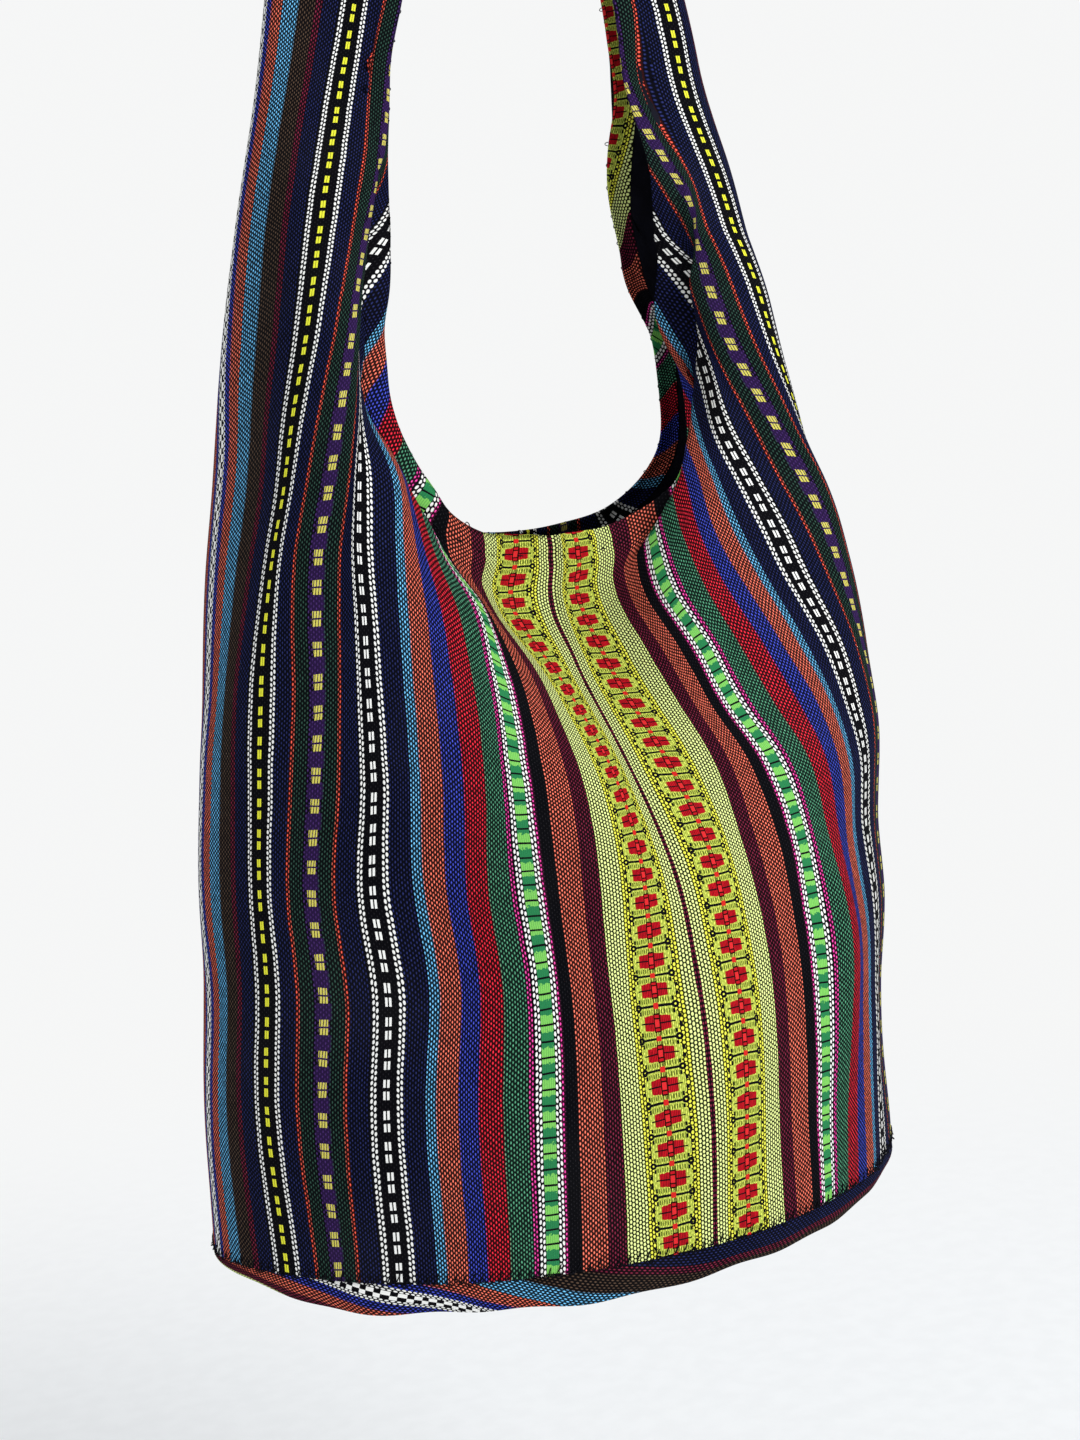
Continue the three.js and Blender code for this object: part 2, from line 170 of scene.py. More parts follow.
# How far, in mm across the view, the cloth is drawn aside from those even sections: for each
# distance round the bag (left of centre negative), (height up the cloth, mm to the right).
# Most were worked out by a scratch program, from stripes read off the photograph by eye, and
# then rounded and corrected by hand.
DRAWN = {
    -448.5: [(0, 0), (600, 0)],
    -244: [(0, -3), (60, 0), (205, 4), (255, 4), (300, 2), (380, 1), (480, 2), (600, 0)],
    -205: [(0, -9.5), (40, -8), (80, -6), (125, -4), (180, -2), (205, 0.5), (255, 2), (290, 1.5),
           (320, -1), (380, -2), (445, 0.5), (480, 1), (600, 0)],
    -171: [(0, -6), (80, -7), (125, -3), (205, -2), (255, 0), (300, -5), (342, -10), (370, -10),
           (405, -7), (445, -3), (600, 0)],
    -153: [(0, -3), (80, -4), (125, 0), (257, 0), (298, -4.5), (340, -9), (370, -8), (406, -5.5),
           (447, -3), (600, 0)],
    -136: [(0, -2), (80, -1), (126, 3), (256, 2), (296, -1), (344, -6), (375, -6.5), (408, -7),
           (447, -4), (600, 0)],
    -120: [(0, 0), (80, 0), (125, 4), (200, 2), (255, -3), (276, -5), (303, -5), (323, -7), (340, -9),
           (376, -9), (480, -6)],
    -104: [(0, 1), (80, 1), (124, 6), (166, 5), (218, 2), (257, 0), (278, -1), (320, -4), (376, -5)],
    -85: [(0, 0), (80, 0), (124, 4), (154, 5), (202, 2), (239, -2), (320, -4)],
    -62: [(0, 0), (155, 0), (229, -3), (267, -4), (300, -6)],
    -38: [(0, 1), (74, -1), (119, -3), (185, -1), (214, -5), (280, -12)],
    -16: [(0, 2), (48, -1), (71, -3), (116, -5), (183, -5), (214, -9), (264, -16), (292, -13)],
    0: [(0, 3), (44, 2), (68, 0), (114, -5), (149, -9), (180, -11), (262, -10), (292, -7)],
    16: [(0, 3), (66, 1), (111, -4), (147, -7), (178, -10), (236, -13), (262, -12), (292, -8)],
    38: [(0, 3), (61, 0), (108, -4), (143, -8), (174, -10), (206, -15), (256, -18), (293, -14)],
    62: [(0, 3), (56, 2), (103, -1), (138, -2), (168, -8), (195, -19), (218, -24), (260, -27),
         (300, -23)],
    76: [(0, 3), (134, 1), (164, -3), (189, -14), (211, -22), (251, -29), (308, -27)],
    95: [(0, 4), (100, 0), (160, 2), (184, -5), (206, -15), (226, -22), (250, -30), (290, -31),
         (330, -24)],
    121: [(0, 4), (43, 2), (94, 0), (128, 4), (156, 5), (180, 0), (201, -5), (238, -20), (274, -30),
          (296, -34), (321, -27), (376, -8)],
    136: [(0, 5), (94, 0), (140, 6), (170, 5), (200, 0), (237, -12), (274, -23), (318, -30),
          (344, -24), (378, -6), (410, 0)],
    153: [(0, 6), (94, 1), (140, 7), (200, 1), (237, -5), (275, -10), (295, -16), (344, -16),
          (376, -6), (414, 3), (456, 7), (600, 0)],
    172: [(0, 6), (94, 1), (140, 7), (200, 1), (256, -8), (295, -12), (344, -8), (376, -1),
          (414, 9), (456, 14), (600, 0)],
    210: [(0, 6), (70, 3), (94, 2.5), (140, 8.5), (185, 2), (203, -1.5), (240, -10), (256, -12.5),
          (290, -13), (345, -12), (376, -11), (414, -6.5), (456, -4), (480, -3.5), (600, 0)],
    244: [(0, 2), (94, 0), (200, 0), (290, 0), (325, 6), (350, 6), (371, -3), (385, -8), (412, -12),
          (430, -10), (450, -4), (480, 0), (600, 0)],
    300: [(0, 0), (262, 0), (290, 9), (310, 9.5), (328, 7), (350, 3), (372, -3), (400, 0)],
    350: [(0, 0), (262, 0), (285, 8), (300, 10), (400, 0)],
    448.5: [(0, 0), (600, 0)],
}

# The same for the cloth along the front edge, by distance from centre front
EDGE_DRAWN = [(-147, -5), (-136, -8), (-124, -6), (-118, -3), (-107, 1), (-101, 0), (-90, -0.5),
              (-84, -1.8), (-77, -3.8), (-69, -4.7), (-57, -4.5), (-38, -6), (-16, -13), (0, -8),
              (16, -8), (38, -13), (50, -11), (58, -8.5), (66, -9.5), (75, -10), (90, -13), (103, -18),
              (121, -5), (139, 0), (147, 2)]

quarter = np.linspace(0, np.pi, 3001)
ring_x = BASE_HALF_WIDTH * np.sin(quarter)
ring_y = -BASE_HALF_DEPTH * np.cos(quarter)
ring_length = np.concatenate([[0], np.cumsum(np.hypot(np.diff(ring_x), np.diff(ring_y)))])
BACK_U = ring_length[-1] / STRIPE
SECTION_U = np.array(SECTION_FRONT_U + SECTION_BACK_U + [BACK_U])
SIDE_COLUMN = len(SECTION_FRONT_U) - 1
BACK_EDGE.append((BACK_U, 279))


def base_ring(u):
    """Plan position of the oval base seam."""
    return np.interp(u * STRIPE, ring_length, ring_x), np.interp(u * STRIPE, ring_length, ring_y)


def section_table():
    """Heights of the body's sections, and (x, y) of each at SECTION_U."""
    heights, rows = [], []
    ring = np.stack(base_ring(SECTION_U), 1)
    for height, swell in SWELL.items():
        heights.append(height)
        rows.append(ring * swell)
    for height in FRONT:
        heights.append(height)
        rows.append(np.array(FRONT[height] + BACK[height], float))
    return np.array(heights, float), np.array(rows)


SECTION_Z, SECTIONS = section_table()


def body_section(z, u):
    """Plan position (x, y) of the body's cloth, and x of its side fold, at height z."""
    z = np.clip(z, 0, SECTION_TOP)
    table = SECTIONS.reshape(len(SECTION_Z), -1)
    rows = through(np.column_stack([SECTION_Z, table]), z).reshape(z.shape + (len(SECTION_U), 2))
    slope = slopes(SECTION_U, rows)
    slope[..., [0, -1], 1] = 0
    out = between_columns(SECTION_U, rows, slope, u)
    return out[..., 0], out[..., 1], rows[..., SIDE_COLUMN, 0]


def side_line():
    """The side fold from base to peg: (x, z) and length along it."""
    turn_x = PEG_TURN_RADIUS * math.cos(TURN_START)
    turn_z = HANG_HEIGHT - PEG_TURN_RADIUS + PEG_TURN_RADIUS * math.sin(TURN_START)
    knots = [(SECTIONS[0][SIDE_COLUMN][0], 0), (138, 97), (140, 190), (137, 251),
             (127, 300), (110, 373), (95, 440), (82, 505)]
    last_x, last_z = knots[-1]
    for share in (0.2, 0.4, 0.6, 0.8, 0.93, 1):
        knots.append((mix(last_x, turn_x, share), mix(last_z, turn_z, share)))
    knots = np.array(knots)
    chord = run_along(knots)
    fine = through(np.column_stack([chord, knots]), np.linspace(0, chord[-1], 6000))
    length = run_along(fine)
    return fine, length, np.gradient(fine, length, axis=0)


LEG_POINTS, LEG_LENGTHS, LEG_SLOPES = side_line()
LEG = LEG_LENGTHS[-1]
STRAP_TOP = LEG + PEG_TURN_RADIUS * (math.pi / 2 - TURN_START)


def side_fold(v):
    """Point (x, z) of the side fold at v mm of cloth, and its direction there."""
    x, z = (np.interp(v, LEG_LENGTHS, LEG_POINTS[:, k]) for k in (0, 1))
    along_x, along_z = (np.interp(v, LEG_LENGTHS, LEG_SLOPES[:, k]) for k in (0, 1))
    angle = TURN_START + (v - LEG) / PEG_TURN_RADIUS
    over = v > LEG
    x = np.where(over, PEG_TURN_RADIUS * np.cos(angle), x)
    z = np.where(over, HANG_HEIGHT - PEG_TURN_RADIUS + PEG_TURN_RADIUS * np.sin(angle), z)
    along_x = np.where(over, -np.sin(angle), along_x)
    along_z = np.where(over, np.cos(angle), along_z)
    size = np.hypot(along_x, along_z)
    return x, z, along_x / size, along_z / size


# Section of the strap: the cloth turns away from the side fold within FOLD_REACH mm
FOLD_TURN = math.radians(75)
FOLD_REACH = 14.0
FOLD_STEP = 0.1
fold_s = np.linspace(0, 80, 801)
fold_angle = FOLD_TURN * np.tanh(fold_s / FOLD_REACH)
fold_in = np.concatenate([[0], np.cumsum(FOLD_STEP * np.sin(fold_angle[:-1]))])
fold_out = np.concatenate([[0], np.cumsum(FOLD_STEP * np.cos(fold_angle[:-1]))])


def strap_section(s, opened):
    """s mm from the side fold, towards the front: how far inward, and how far forward."""
    inward = np.interp(np.abs(s), fold_s, fold_in) * (1 - opened)
    flat = np.sqrt(np.maximum(s * s - inward ** 2, 0))
    forward = mix(np.interp(np.abs(s), fold_s, fold_out), flat, opened)
    return inward, forward * np.sign(s)


def hung(x, y, z):
    """The whole bag as it hangs: swayed to the right, base tilted."""
    across = x * math.cos(VIEW_AZIMUTH) - y * math.sin(VIEW_AZIMUTH)
    tilted = z + math.tan(BASE_TILT) * across * (1 - smooth(60, 330, z))
    swayed = x + through(SWAY, np.clip(z, 0, 900))[..., 0]
    return np.stack([swayed, y, tilted], -1)


def drawn_aside(u, v):
    """How far each point is drawn across the view, from the curves of DRAWN."""
    stops = np.array(list(DRAWN))
    columns = np.stack([through(curve, v)[..., 0] for curve in DRAWN.values()], -1)[..., None]
    return between_columns(stops, columns, slopes(stops, columns), u)[..., 0]


def hem_fold(u, far):
    """The doubled hem turned over beside the mouth: mm across the view, mm towards it."""
    left = smooth(44, 62, -u) * (1 - smooth(122, 145, -u))
    right = smooth(44, 60, u) * (1 - smooth(98, 118, u))
    band = smooth(0, 10, far) * (1 - smooth(12, 24, far))
    groove = smooth(8, 15, far) * (1 - smooth(15, 25, far))
    across = -6.0 * left * band
    towards = (right * (4.0 * (1 - smooth(9, 16, far)) - 4.0 * groove)
               - left * (5.5 * groove + 1.5 * (1 - smooth(10, 20, far))))
    return across, towards


STRAP_BLEND = (345, 455)     # heights over which the body's sections become the strap's
LEAN_BLEND = (330, 520)      # heights over which the sections turn square to the side fold
STRAP_OPENS = 560            # height from which the folded strap opens out towards the peg
EDGE_BLEND = (9, 24)         # mm from an edge over which EDGE_DRAWN gives way to DRAWN
MIDDLE_REACH = 14            # stripe units beside the centre lines where the two halves meet


def smooth_shape(u, v, far):
    """Point of the cloth before its small unevenness, far mm from the nearer edge."""
    u, v = np.broadcast_arrays(np.asarray(u, float), np.asarray(v, float))
    right = np.abs(u)
    fold_x, fold_z, along_x, along_z = side_fold(v)
    around = np.column_stack([SECTION_U, SINK_ROUND])
    sink = through(SINK, np.minimum(v, 420))[..., 0] * through(around, right)[..., 0]
    body_x, body_y, body_fold = body_section(fold_z - sink, right)
    opened = np.sqrt(smooth(STRAP_OPENS, LEG - 10, v))
    inward, forward = strap_section((SIDE_U - right) * STRIPE, opened)
    strap = smooth(*STRAP_BLEND, v)
    out = mix(body_x - body_fold, -inward, strap)
    y = mix(body_y, -forward, strap)
    lean = smooth(*LEAN_BLEND, v)
    out_x = mix(1.0, along_z, lean)
    out_z = mix(0.0, -along_x, lean)
    size = np.hypot(out_x, out_z)
    middle = 1 - smooth(0, MIDDLE_REACH, right) + smooth(BACK_U - MIDDLE_REACH, BACK_U, right)
    x = fold_x + out_x / size * out - (fold_x - body_fold) * middle * (1 - strap)
    z = fold_z + out_z / size * out - sink * (1 - strap)
    at_edge = 1 - smooth(*EDGE_BLEND, far)
    at_edge = at_edge * (1 - smooth(440, SCOOP_TOP, v)) * (right < FRONT_EDGE_U + 8)
    aside = mix(drawn_aside(u, v), through(EDGE_DRAWN, u)[..., 0], at_edge)
    across, towards = hem_fold(u, far)
    return (hung(np.where(u < 0, -x, x), y, z) + (aside + across)[..., None] * ACROSS
            + towards[..., None] * TOWARDS)


def ripples(u, v, far):
    """Small unevenness of the hanging cloth, in mm square to it."""
    side = np.sin(u * 0.061 + 1.3) * np.sin(v * 0.011 + 0.02 * u)
    cross = np.sin(v * 0.047 + 0.9 * np.sin(u * 0.021)) * np.sin(u * 0.013 + 2.1)
    long_fold = np.exp(-((np.abs(u) - 132 - 6 * np.sin(v * 0.01)) / 5.5) ** 2)
    long_fold = long_fold * smooth(150, 300, v) * (1 - smooth(430, 560, v))
    foot = smooth(0, 40, v)
    away = smooth(6, 30, far)
    pad = 0.8 * np.exp(-((far - 4.0) / 3.0) ** 2)
    crease = 0.6 * np.exp(-((far - HEM + 0.3) / 1.1) ** 2)
    pleat = 2.4 * np.exp(-(u / 3.2) ** 2) * smooth(236, 262, v)
    return (0.9 * side + 0.5 * cross - 1.2 * long_fold) * foot * away + pad - crease - pleat


def edge_distance(u, v):
    """Distance in the cloth, in mm, from the nearer edge of the two openings."""
    place = np.stack([np.abs(u) * STRIPE, v], -1).reshape(-1, 1, 2)
    out = np.empty(len(place))
    for start in range(0, len(place), 20000):
        part = place[start:start + 20000]
        out[start:start + 20000] = np.sqrt(((part - EDGE_SAMPLES) ** 2).sum(-1)).min(-1)
    return out.reshape(np.shape(u))


def cloth_point(u, v, depth):
    """Point of the cloth in mm over the base seam, depth mm inside its outer face."""
    u = np.asarray(u, float)
    v = np.asarray(v, float)
    step = 0.4
    far = edge_distance(u, v)
    point = smooth_shape(u, v, far)
    across = smooth_shape(u + step, v, far) - smooth_shape(u - step, v, far)
    low = np.maximum(v - step, 0)
    high = np.minimum(v + step, STRAP_TOP)
    up = smooth_shape(u, high, far) - smooth_shape(u, low, far)
    normal = np.cross(across, up)
    normal /= np.maximum(np.linalg.norm(normal, axis=-1, keepdims=True), 1e-9)
    return point + normal * (ripples(u, v, far) - depth)[..., None]


def even_steps(points, step):
    """Points of a smooth curve through (u, v) points, evenly spaced in mm of cloth."""
    points = np.array(points, float) * [STRIPE, 1]
    chord = run_along(points)
    fine = through(np.column_stack([chord, points]), np.linspace(0, chord[-1], 3000))
    length = run_along(fine)
    even = np.linspace(0, length[-1], round(length[-1] / step) + 1)
    return np.interp(even, length, fine[:, 0]) / STRIPE, np.interp(even, length, fine[:, 1])


STRAP_HEIGHTS = np.concatenate([np.linspace(SCOOP_TOP, LEG, 120), np.linspace(LEG, STRAP_TOP, 14)[1:]])
FRONT_PATH = even_steps(FRONT_EDGE, 2.4)
BACK_PATH = even_steps(BACK_EDGE, 3.0)


def edge_samples():
    rows = [np.stack([path[0] * STRIPE, path[1]], -1) for path in (FRONT_PATH, BACK_PATH)]
    for edge in (FRONT_EDGE_U, BACK_EDGE_U):
        rows.append(np.stack([np.full(STRAP_HEIGHTS.shape, edge * STRIPE), STRAP_HEIGHTS], -1))
    return np.concatenate(rows)[None]


EDGE_SAMPLES = edge_samples()


def top_of(u):
    """Height of the cloth's edge over each distance round the bag, below the strap."""
    right = np.abs(u)
    front = np.interp(right, *FRONT_PATH)
    back = np.interp(right, *BACK_PATH)
    return np.where(right < FRONT_EDGE_U, front, np.where(right > BACK_EDGE_U, back, SCOOP_TOP))


class Build:
    """Collects vertices with two UV maps and quads, and makes the mesh."""

    def __init__(self):
        self.points, self.cloth, self.bake, self.faces = [], [], [], []
        self.count = 0

    def grid(self, points, cloth, bake, flip=False):
        rows, columns = points.shape[:2]
        index = self.count + np.arange(rows * columns).reshape(rows, columns)
        self.points.append(points.reshape(-1, 3))
        self.cloth.append(cloth.reshape(-1, 2))
        self.bake.append(bake.reshape(-1, 2))
        self.count += rows * columns
        corners = [index[:-1, :-1], index[:-1, 1:], index[1:, 1:], index[1:, :-1]]
        quads = np.stack(corners, -1).reshape(-1, 4)
        self.faces.append(quads[:, ::-1] if flip else quads)

    def mesh(self, name, weld):
        points = np.concatenate(self.points) * MM
        points[:, 2] -= BASE_DROP * MM
        faces = np.concatenate(self.faces)
        mesh = bpy.data.meshes.new(name)
        mesh.from_pydata(points.tolist(), [], faces.tolist())
        corner = faces.ravel()
        for map_name, values in (("OFBake", self.bake), ("Cloth", self.cloth)):
            layer = mesh.uv_layers.new(name=map_name)
            data = np.concatenate(values)[corner].astype(np.float32)
            layer.data.foreach_set("uv", data.ravel())
        mesh.uv_layers["OFBake"].active_render = True
        mesh.validate()
        piece = bpy.data.objects.new(name, mesh)
        bpy.context.scene.collection.objects.link(piece)
        join_seams(mesh, weld)
        mesh.shade_smooth()
        return piece


def join_seams(mesh, distance):
    """Joins vertices that lie within the distance of each other."""
    work = bmesh.new()
    work.from_mesh(mesh)
    bmesh.ops.remove_doubles(work, verts=work.verts, dist=distance)
    work.to_mesh(mesh)
    work.free()


CLOTH_WELD = 0.00004     # m, joins the cloth with its hem
FINE_WELD = 0.00001      # m, for the lining and bits of thread
BODY_ROWS = 128
LINING_ROWS = 64
STRAP_STEP = 2.2         # stripe units between the columns of the strap
# Bake layout, in mm of cloth: the body, the two legs of the strap over it, then a strip a hem
BAKE_SPAN = 880.0
BODY_BAKE = (20, 5)
LEG_BAKE_X = {-1: 10, 1: 445}
LEG_BAKE_Y = 495
HEM_BAKE_Y = 600
HEM_BAKE_STEP = 14


def bake_place(x, y):
    return np.stack(np.broadcast_arrays(x / BAKE_SPAN, y / BAKE_SPAN), -1)


def strap_columns(step):
    """Distances round one leg of the strap, with a column on the side fold."""
    return np.concatenate([
        np.linspace(FRONT_EDGE_U, SIDE_U, round((SIDE_U - FRONT_EDGE_U) / step) + 1),
        np.linspace(SIDE_U, BACK_EDGE_U, round((BACK_EDGE_U - SIDE_U) / step) + 1)[1:]])


def body_columns(every=1):
    """Distances round the bag, from the back seam over the front to the back seam."""
    right = np.concatenate([FRONT_PATH[0][:-1:every], strap_columns(STRAP_STEP * every),
                            BACK_PATH[0][1:-1:every], [BACK_U]])
    return np.concatenate([-right[:0:-1], right])


def even_rows(count, top):
    """Heights from the base seam to the top over every column."""
    return np.linspace(0, 1, count + 1)[:, None] * top[None, :]


def body_and_legs(build, u, v, legs, heights, depth, inset):
    """Cloth of the body all round and of both legs of the strap, depth mm inside the outer face."""
    u = np.broadcast_to(u, v.shape)
    place = bake_place((u + BACK_U) * STRIPE + BODY_BAKE[0], v + BODY_BAKE[1])
    build.grid(cloth_point(u, v, depth), np.stack([u, v], -1), place)
    for side, left in LEG_BAKE_X.items():
        u, v = np.meshgrid(side * legs, heights)
        across = (np.abs(u) - FRONT_EDGE_U) * STRIPE
        place = bake_place(v - SCOOP_TOP + left + inset, across + LEG_BAKE_Y)
        build.grid(cloth_point(u, v, depth), np.stack([u, v], -1), place, flip=side < 0)


# The turned hem: (mm past the edge in the pattern, mm inside the outer face, mm back from the edge)
HEM_TURN = [(0.0, 0.0, 0.0), (0.35, 0.25, -0.35), (0.9, 1.0, -0.3), (1.6, 1.7, 0.3), (3.0, 1.9, 2.0),
            (5.0, 1.7, 4.2), (7.5, 1.5, 6.8), (9.3, 1.6, 8.7), (HEM, 1.4, HEM)]


def edge_paths():
    """The edges of both openings, each from its middle up to the peg, as (u, v, outward)."""
    back_path = (BACK_PATH[0][::-1], BACK_PATH[1][::-1])
    paths = []
    for path, edge, outside in ((FRONT_PATH, FRONT_EDGE_U, -1), (back_path, BACK_EDGE_U, 1)):
        u = np.concatenate([path[0], np.full(len(STRAP_HEIGHTS) - 1, edge)])
        v = np.concatenate([path[1], STRAP_HEIGHTS[1:]])
        du = np.gradient(u * STRIPE)
        dv = np.gradient(v)
        size = np.hypot(du, dv)
        out_u, out_v = outside * dv / size, -outside * du / size
        for side in (-1, 1):
            paths.append((side * u, v, (side * out_u, out_v)))
    return paths


def edge_run(line):
    """Distance along an edge, in mm, at each of its points."""
    steps = np.hypot(np.diff(line[0] * STRIPE), np.diff(line[1]))
    return np.concatenate([[0], np.cumsum(steps)])


def turned_hem(build, line, bake_y):
    """The cloth rolled over its edge and turned in by one hem."""
    u, v, (out_u, out_v) = line
    run = edge_run(line)
    rows, cloth, bake = [], [], []
    for past, depth, back in HEM_TURN:
        at_u = u - out_u * back / STRIPE
        at_v = np.minimum(v - out_v * back, STRAP_TOP)
        rows.append(cloth_point(at_u, at_v, depth))
        cloth.append(np.stack([u + out_u * past / STRIPE, v + out_v * past], -1))
        bake.append(bake_place(run, bake_y + past))
    build.grid(np.array(rows), np.array(cloth), np.array(bake))


def outer_cloth():
    build = Build()
    u = body_columns()
    v = even_rows(BODY_ROWS, top_of(u))
    body_and_legs(build, u, v, strap_columns(STRAP_STEP), STRAP_HEIGHTS, 0.0, 0.0)
    for number, line in enumerate(edge_paths()):
        turned_hem(build, line, HEM_BAKE_Y + HEM_BAKE_STEP * number)
    return build.mesh("outer_cloth", CLOTH_WELD)


def lining():
    lowest = 1.5
    build = Build()
    u = body_columns(2)
    v = np.maximum(even_rows(LINING_ROWS, top_of(u) - LINING_INSET), lowest)
    legs = np.linspace(FRONT_EDGE_U + LINING_INSET, BACK_EDGE_U - LINING_INSET, 24)
    heights = np.concatenate([np.linspace(SCOOP_TOP - LINING_INSET, LEG, 60),
                              np.linspace(LEG, STRAP_TOP, 8)[1:]])
    body_and_legs(build, u, v, legs, heights, LINING_GAP, LINING_INSET)
    return build.mesh("lining_cloth", FINE_WELD)


# Stripes that the upright rim of the base shows: (mm round the seam from centre front, stripe)
RIM_STRIPES = [(-430, 215), (-300, 232), (-250, 227), (-200, 223), (-163, 217), (-124, 208),
               (-90, 200), (-57, 187), (-38, 181.5), (-8, 175), (60, 174.5), (140, 175), (250, 177),
               (340, 190), (430, 215)]
RIM_SHEAR = 0.26         # shift of the rim's stripes for each mm down it
RIM_ROWS = 9
BASE_CORNERS = 361
BASE_ROWS = 30
BASE_STRIPE = 190        # stripe under the middle of the base
BASE_TURN = (0.97, 0.24)  # how the base's stripes are turned from the x axis
BASE_BAKE_SPAN = 310     # mm of base across the bake layout
RIM_BAKE_SPAN = 940


def base(name, inset, lift, sag):
    """Base cloth: a narrow upright rim under the seam, then the sagging bottom."""
    build = Build()
    angle = np.linspace(-math.pi, math.pi, BASE_CORNERS)
    round_mm = np.interp(np.abs(angle), quarter, ring_length) * np.sign(angle)
    aside = drawn_aside(round_mm / STRIPE, np.zeros(angle.shape))
    unit_x, unit_y = BASE_HALF_WIDTH * np.sin(angle), -BASE_HALF_DEPTH * np.cos(angle)
    uneven = 0.7 * np.sin(angle * 9 + 1) + 0.5 * np.sin(angle * 23)
    in_view = (unit_x * math.cos(VIEW_AZIMUTH) - unit_y * math.sin(VIEW_AZIMUTH)) / BASE_HALF_WIDTH
    slack = 0.25 + 0.75 * smooth(-1.0, -0.5, in_view) - 0.3 * smooth(0.3, 1.0, in_view)

    def ring(share, height):
        fall = mix(1.0, slack, share ** 2)
        point = hung(unit_x * share, unit_y * share, height * fall + lift)
        return point + (aside * share)[:, None] * ACROSS

    # The rim
    rows, cloth, bake = [], [], []
    for share in np.linspace(0, 1, RIM_ROWS):
        bulge = 1 - inset + 0.010 * math.sin(math.pi * share) - 0.012 * share
        rows.append(ring(bulge, -BAND_HEIGHT * share + uneven * share))
        depth = BAND_HEIGHT * share
        stripe = through(RIM_STRIPES, round_mm)[..., 0] + depth / STRIPE
        cloth.append(np.stack([stripe, round_mm + RIM_SHEAR * depth], -1))
        bake_x = 0.03 + (round_mm + 440) / RIM_BAKE_SPAN
        bake.append(np.stack([bake_x, np.full(angle.shape, 0.02 + depth / RIM_BAKE_SPAN)], -1))
    build.grid(np.array(rows), np.array(cloth), np.array(bake), flip=True)
    # The bottom, from its edge to its middle
    rows, cloth, bake = [], [], []
    for share in np.linspace(1, 0, BASE_ROWS):
        fall = -BAND_HEIGHT - (sag - BAND_HEIGHT) * (1 - share ** 2.4)
        rows.append(ring((0.988 - inset) * share, fall + uneven * share ** 6))
        x, y = unit_x * share, unit_y * share
        stripe = BASE_STRIPE + (y * BASE_TURN[0] + x * BASE_TURN[1]) / STRIPE
        cloth.append(np.stack([stripe, x * BASE_TURN[0] - y * BASE_TURN[1]], -1))
        bake.append(np.stack([0.5 + x / BASE_BAKE_SPAN, 0.53 + y / BASE_BAKE_SPAN], -1))
    build.grid(np.array(rows), np.array(cloth), np.array(bake), flip=True)
    return build.mesh(name, CLOTH_WELD)


STITCH_GAP = 3.3         # mm between the stitches that join the base
HEM_STITCH_GAP = 7.0
EDGE_LOOP_GAP = 9.0
SEAM_LOOP_GAP = 2.6
SEWING_RADIUS = 0.24
LOOP_RADIUS = 0.2
LOOP_SEED = 7
LONG_LOOP_SHARE = 0.08   # share of the loops at an edge that stand out further
THREAD_CELLS = 50        # bake layout: cells a side, one for each bit of thread


def unit_rows(vectors):
    """Vectors of length 1 along the last axis."""
    return vectors / np.maximum(np.linalg.norm(vectors, axis=-1, keepdims=True), 1e-9)


def thread(build, path, radius, number, sides):
    """One bit of thread along a path of points, in its own cell of the bake layout."""
    along = unit_rows(np.gradient(path, axis=0))
    side = unit_rows(np.cross(along, [0.3, 0.2, 0.93]))
    other = np.cross(side, along)
    taper = np.ones(len(path))
    taper[[0, -1]] = 0.35
    angle = np.linspace(0, 2 * math.pi, sides + 1)
    ring = np.cos(angle)[None, :, None] * side[:, None] + np.sin(angle)[None, :, None] * other[:, None]
    points = path[:, None] + ring * (radius * taper)[:, None, None]
    length = np.concatenate([[0], np.cumsum(np.linalg.norm(np.diff(path, axis=0), axis=1))])
    cloth = np.stack(np.broadcast_arrays(angle[None, :] * radius, length[:, None]), -1)
    row, column = divmod(number, THREAD_CELLS)
    share_x = (column + 0.1 + 0.8 * angle[None, :] / (2 * math.pi)) / THREAD_CELLS
    share_y = (row + 0.1 + 0.8 * length[:, None] / length[-1]) / THREAD_CELLS
    build.grid(points, cloth, np.stack(np.broadcast_arrays(share_x, share_y), -1))


def along_edge(line, at, inside):
    """Cloth coordinates at distances along an edge, a few mm inside it."""
    edge_u, edge_v, outward = line
    run = edge_run(line)
    at = np.clip(at, 0, run[-1])
    u = np.interp(at, run, edge_u) - np.interp(at, run, outward[0]) * inside / STRIPE
    v = np.interp(at, run, edge_v) - np.interp(at, run, outward[1]) * inside
    return u, np.minimum(v, STRAP_TOP)


def places_along(start, end, gap):
    """Evenly spaced distances, one to a row."""
    return np.arange(start, end, gap)[:, None]


def sewing_thread():
    """Slanted stitches over the base seam and short ones along the hem of both openings."""
    build = Build()
    half = ring_length[-1]
    place = places_along(-half, half, STITCH_GAP)
    slant = 1.3 + 0.3 * np.sin(place * 1.7)
    at_u = place / STRIPE + np.array([-0.5, -0.25, 0.1, 0.45, 0.6]) * slant
    at_v = np.array([0.2, 0.9, 1.9, 3.0, 3.5]) + 0.4 * np.sin(place * 0.9)
    depths = np.broadcast_to([0.2, -0.25, -0.4, -0.25, 0.25], at_u.shape)
    paths = [cloth_point(at_u, at_v, depths)]
    for line in edge_paths():
        place = places_along(4.0, edge_run(line)[-1] - 4, HEM_STITCH_GAP)
        at_u, at_v = along_edge(line, place + [0.0, 0.5, 1.1, 1.7, 2.2], HEM - 1.2)
        paths.append(cloth_point(at_u, at_v, np.broadcast_to([0.2, -0.1, -0.2, -0.1, 0.2], at_u.shape)))
    for number, path in enumerate(np.concatenate(paths)):
        thread(build, path, SEWING_RADIUS, number, sides=5)
    return build.mesh("sewing_thread", FINE_WELD)


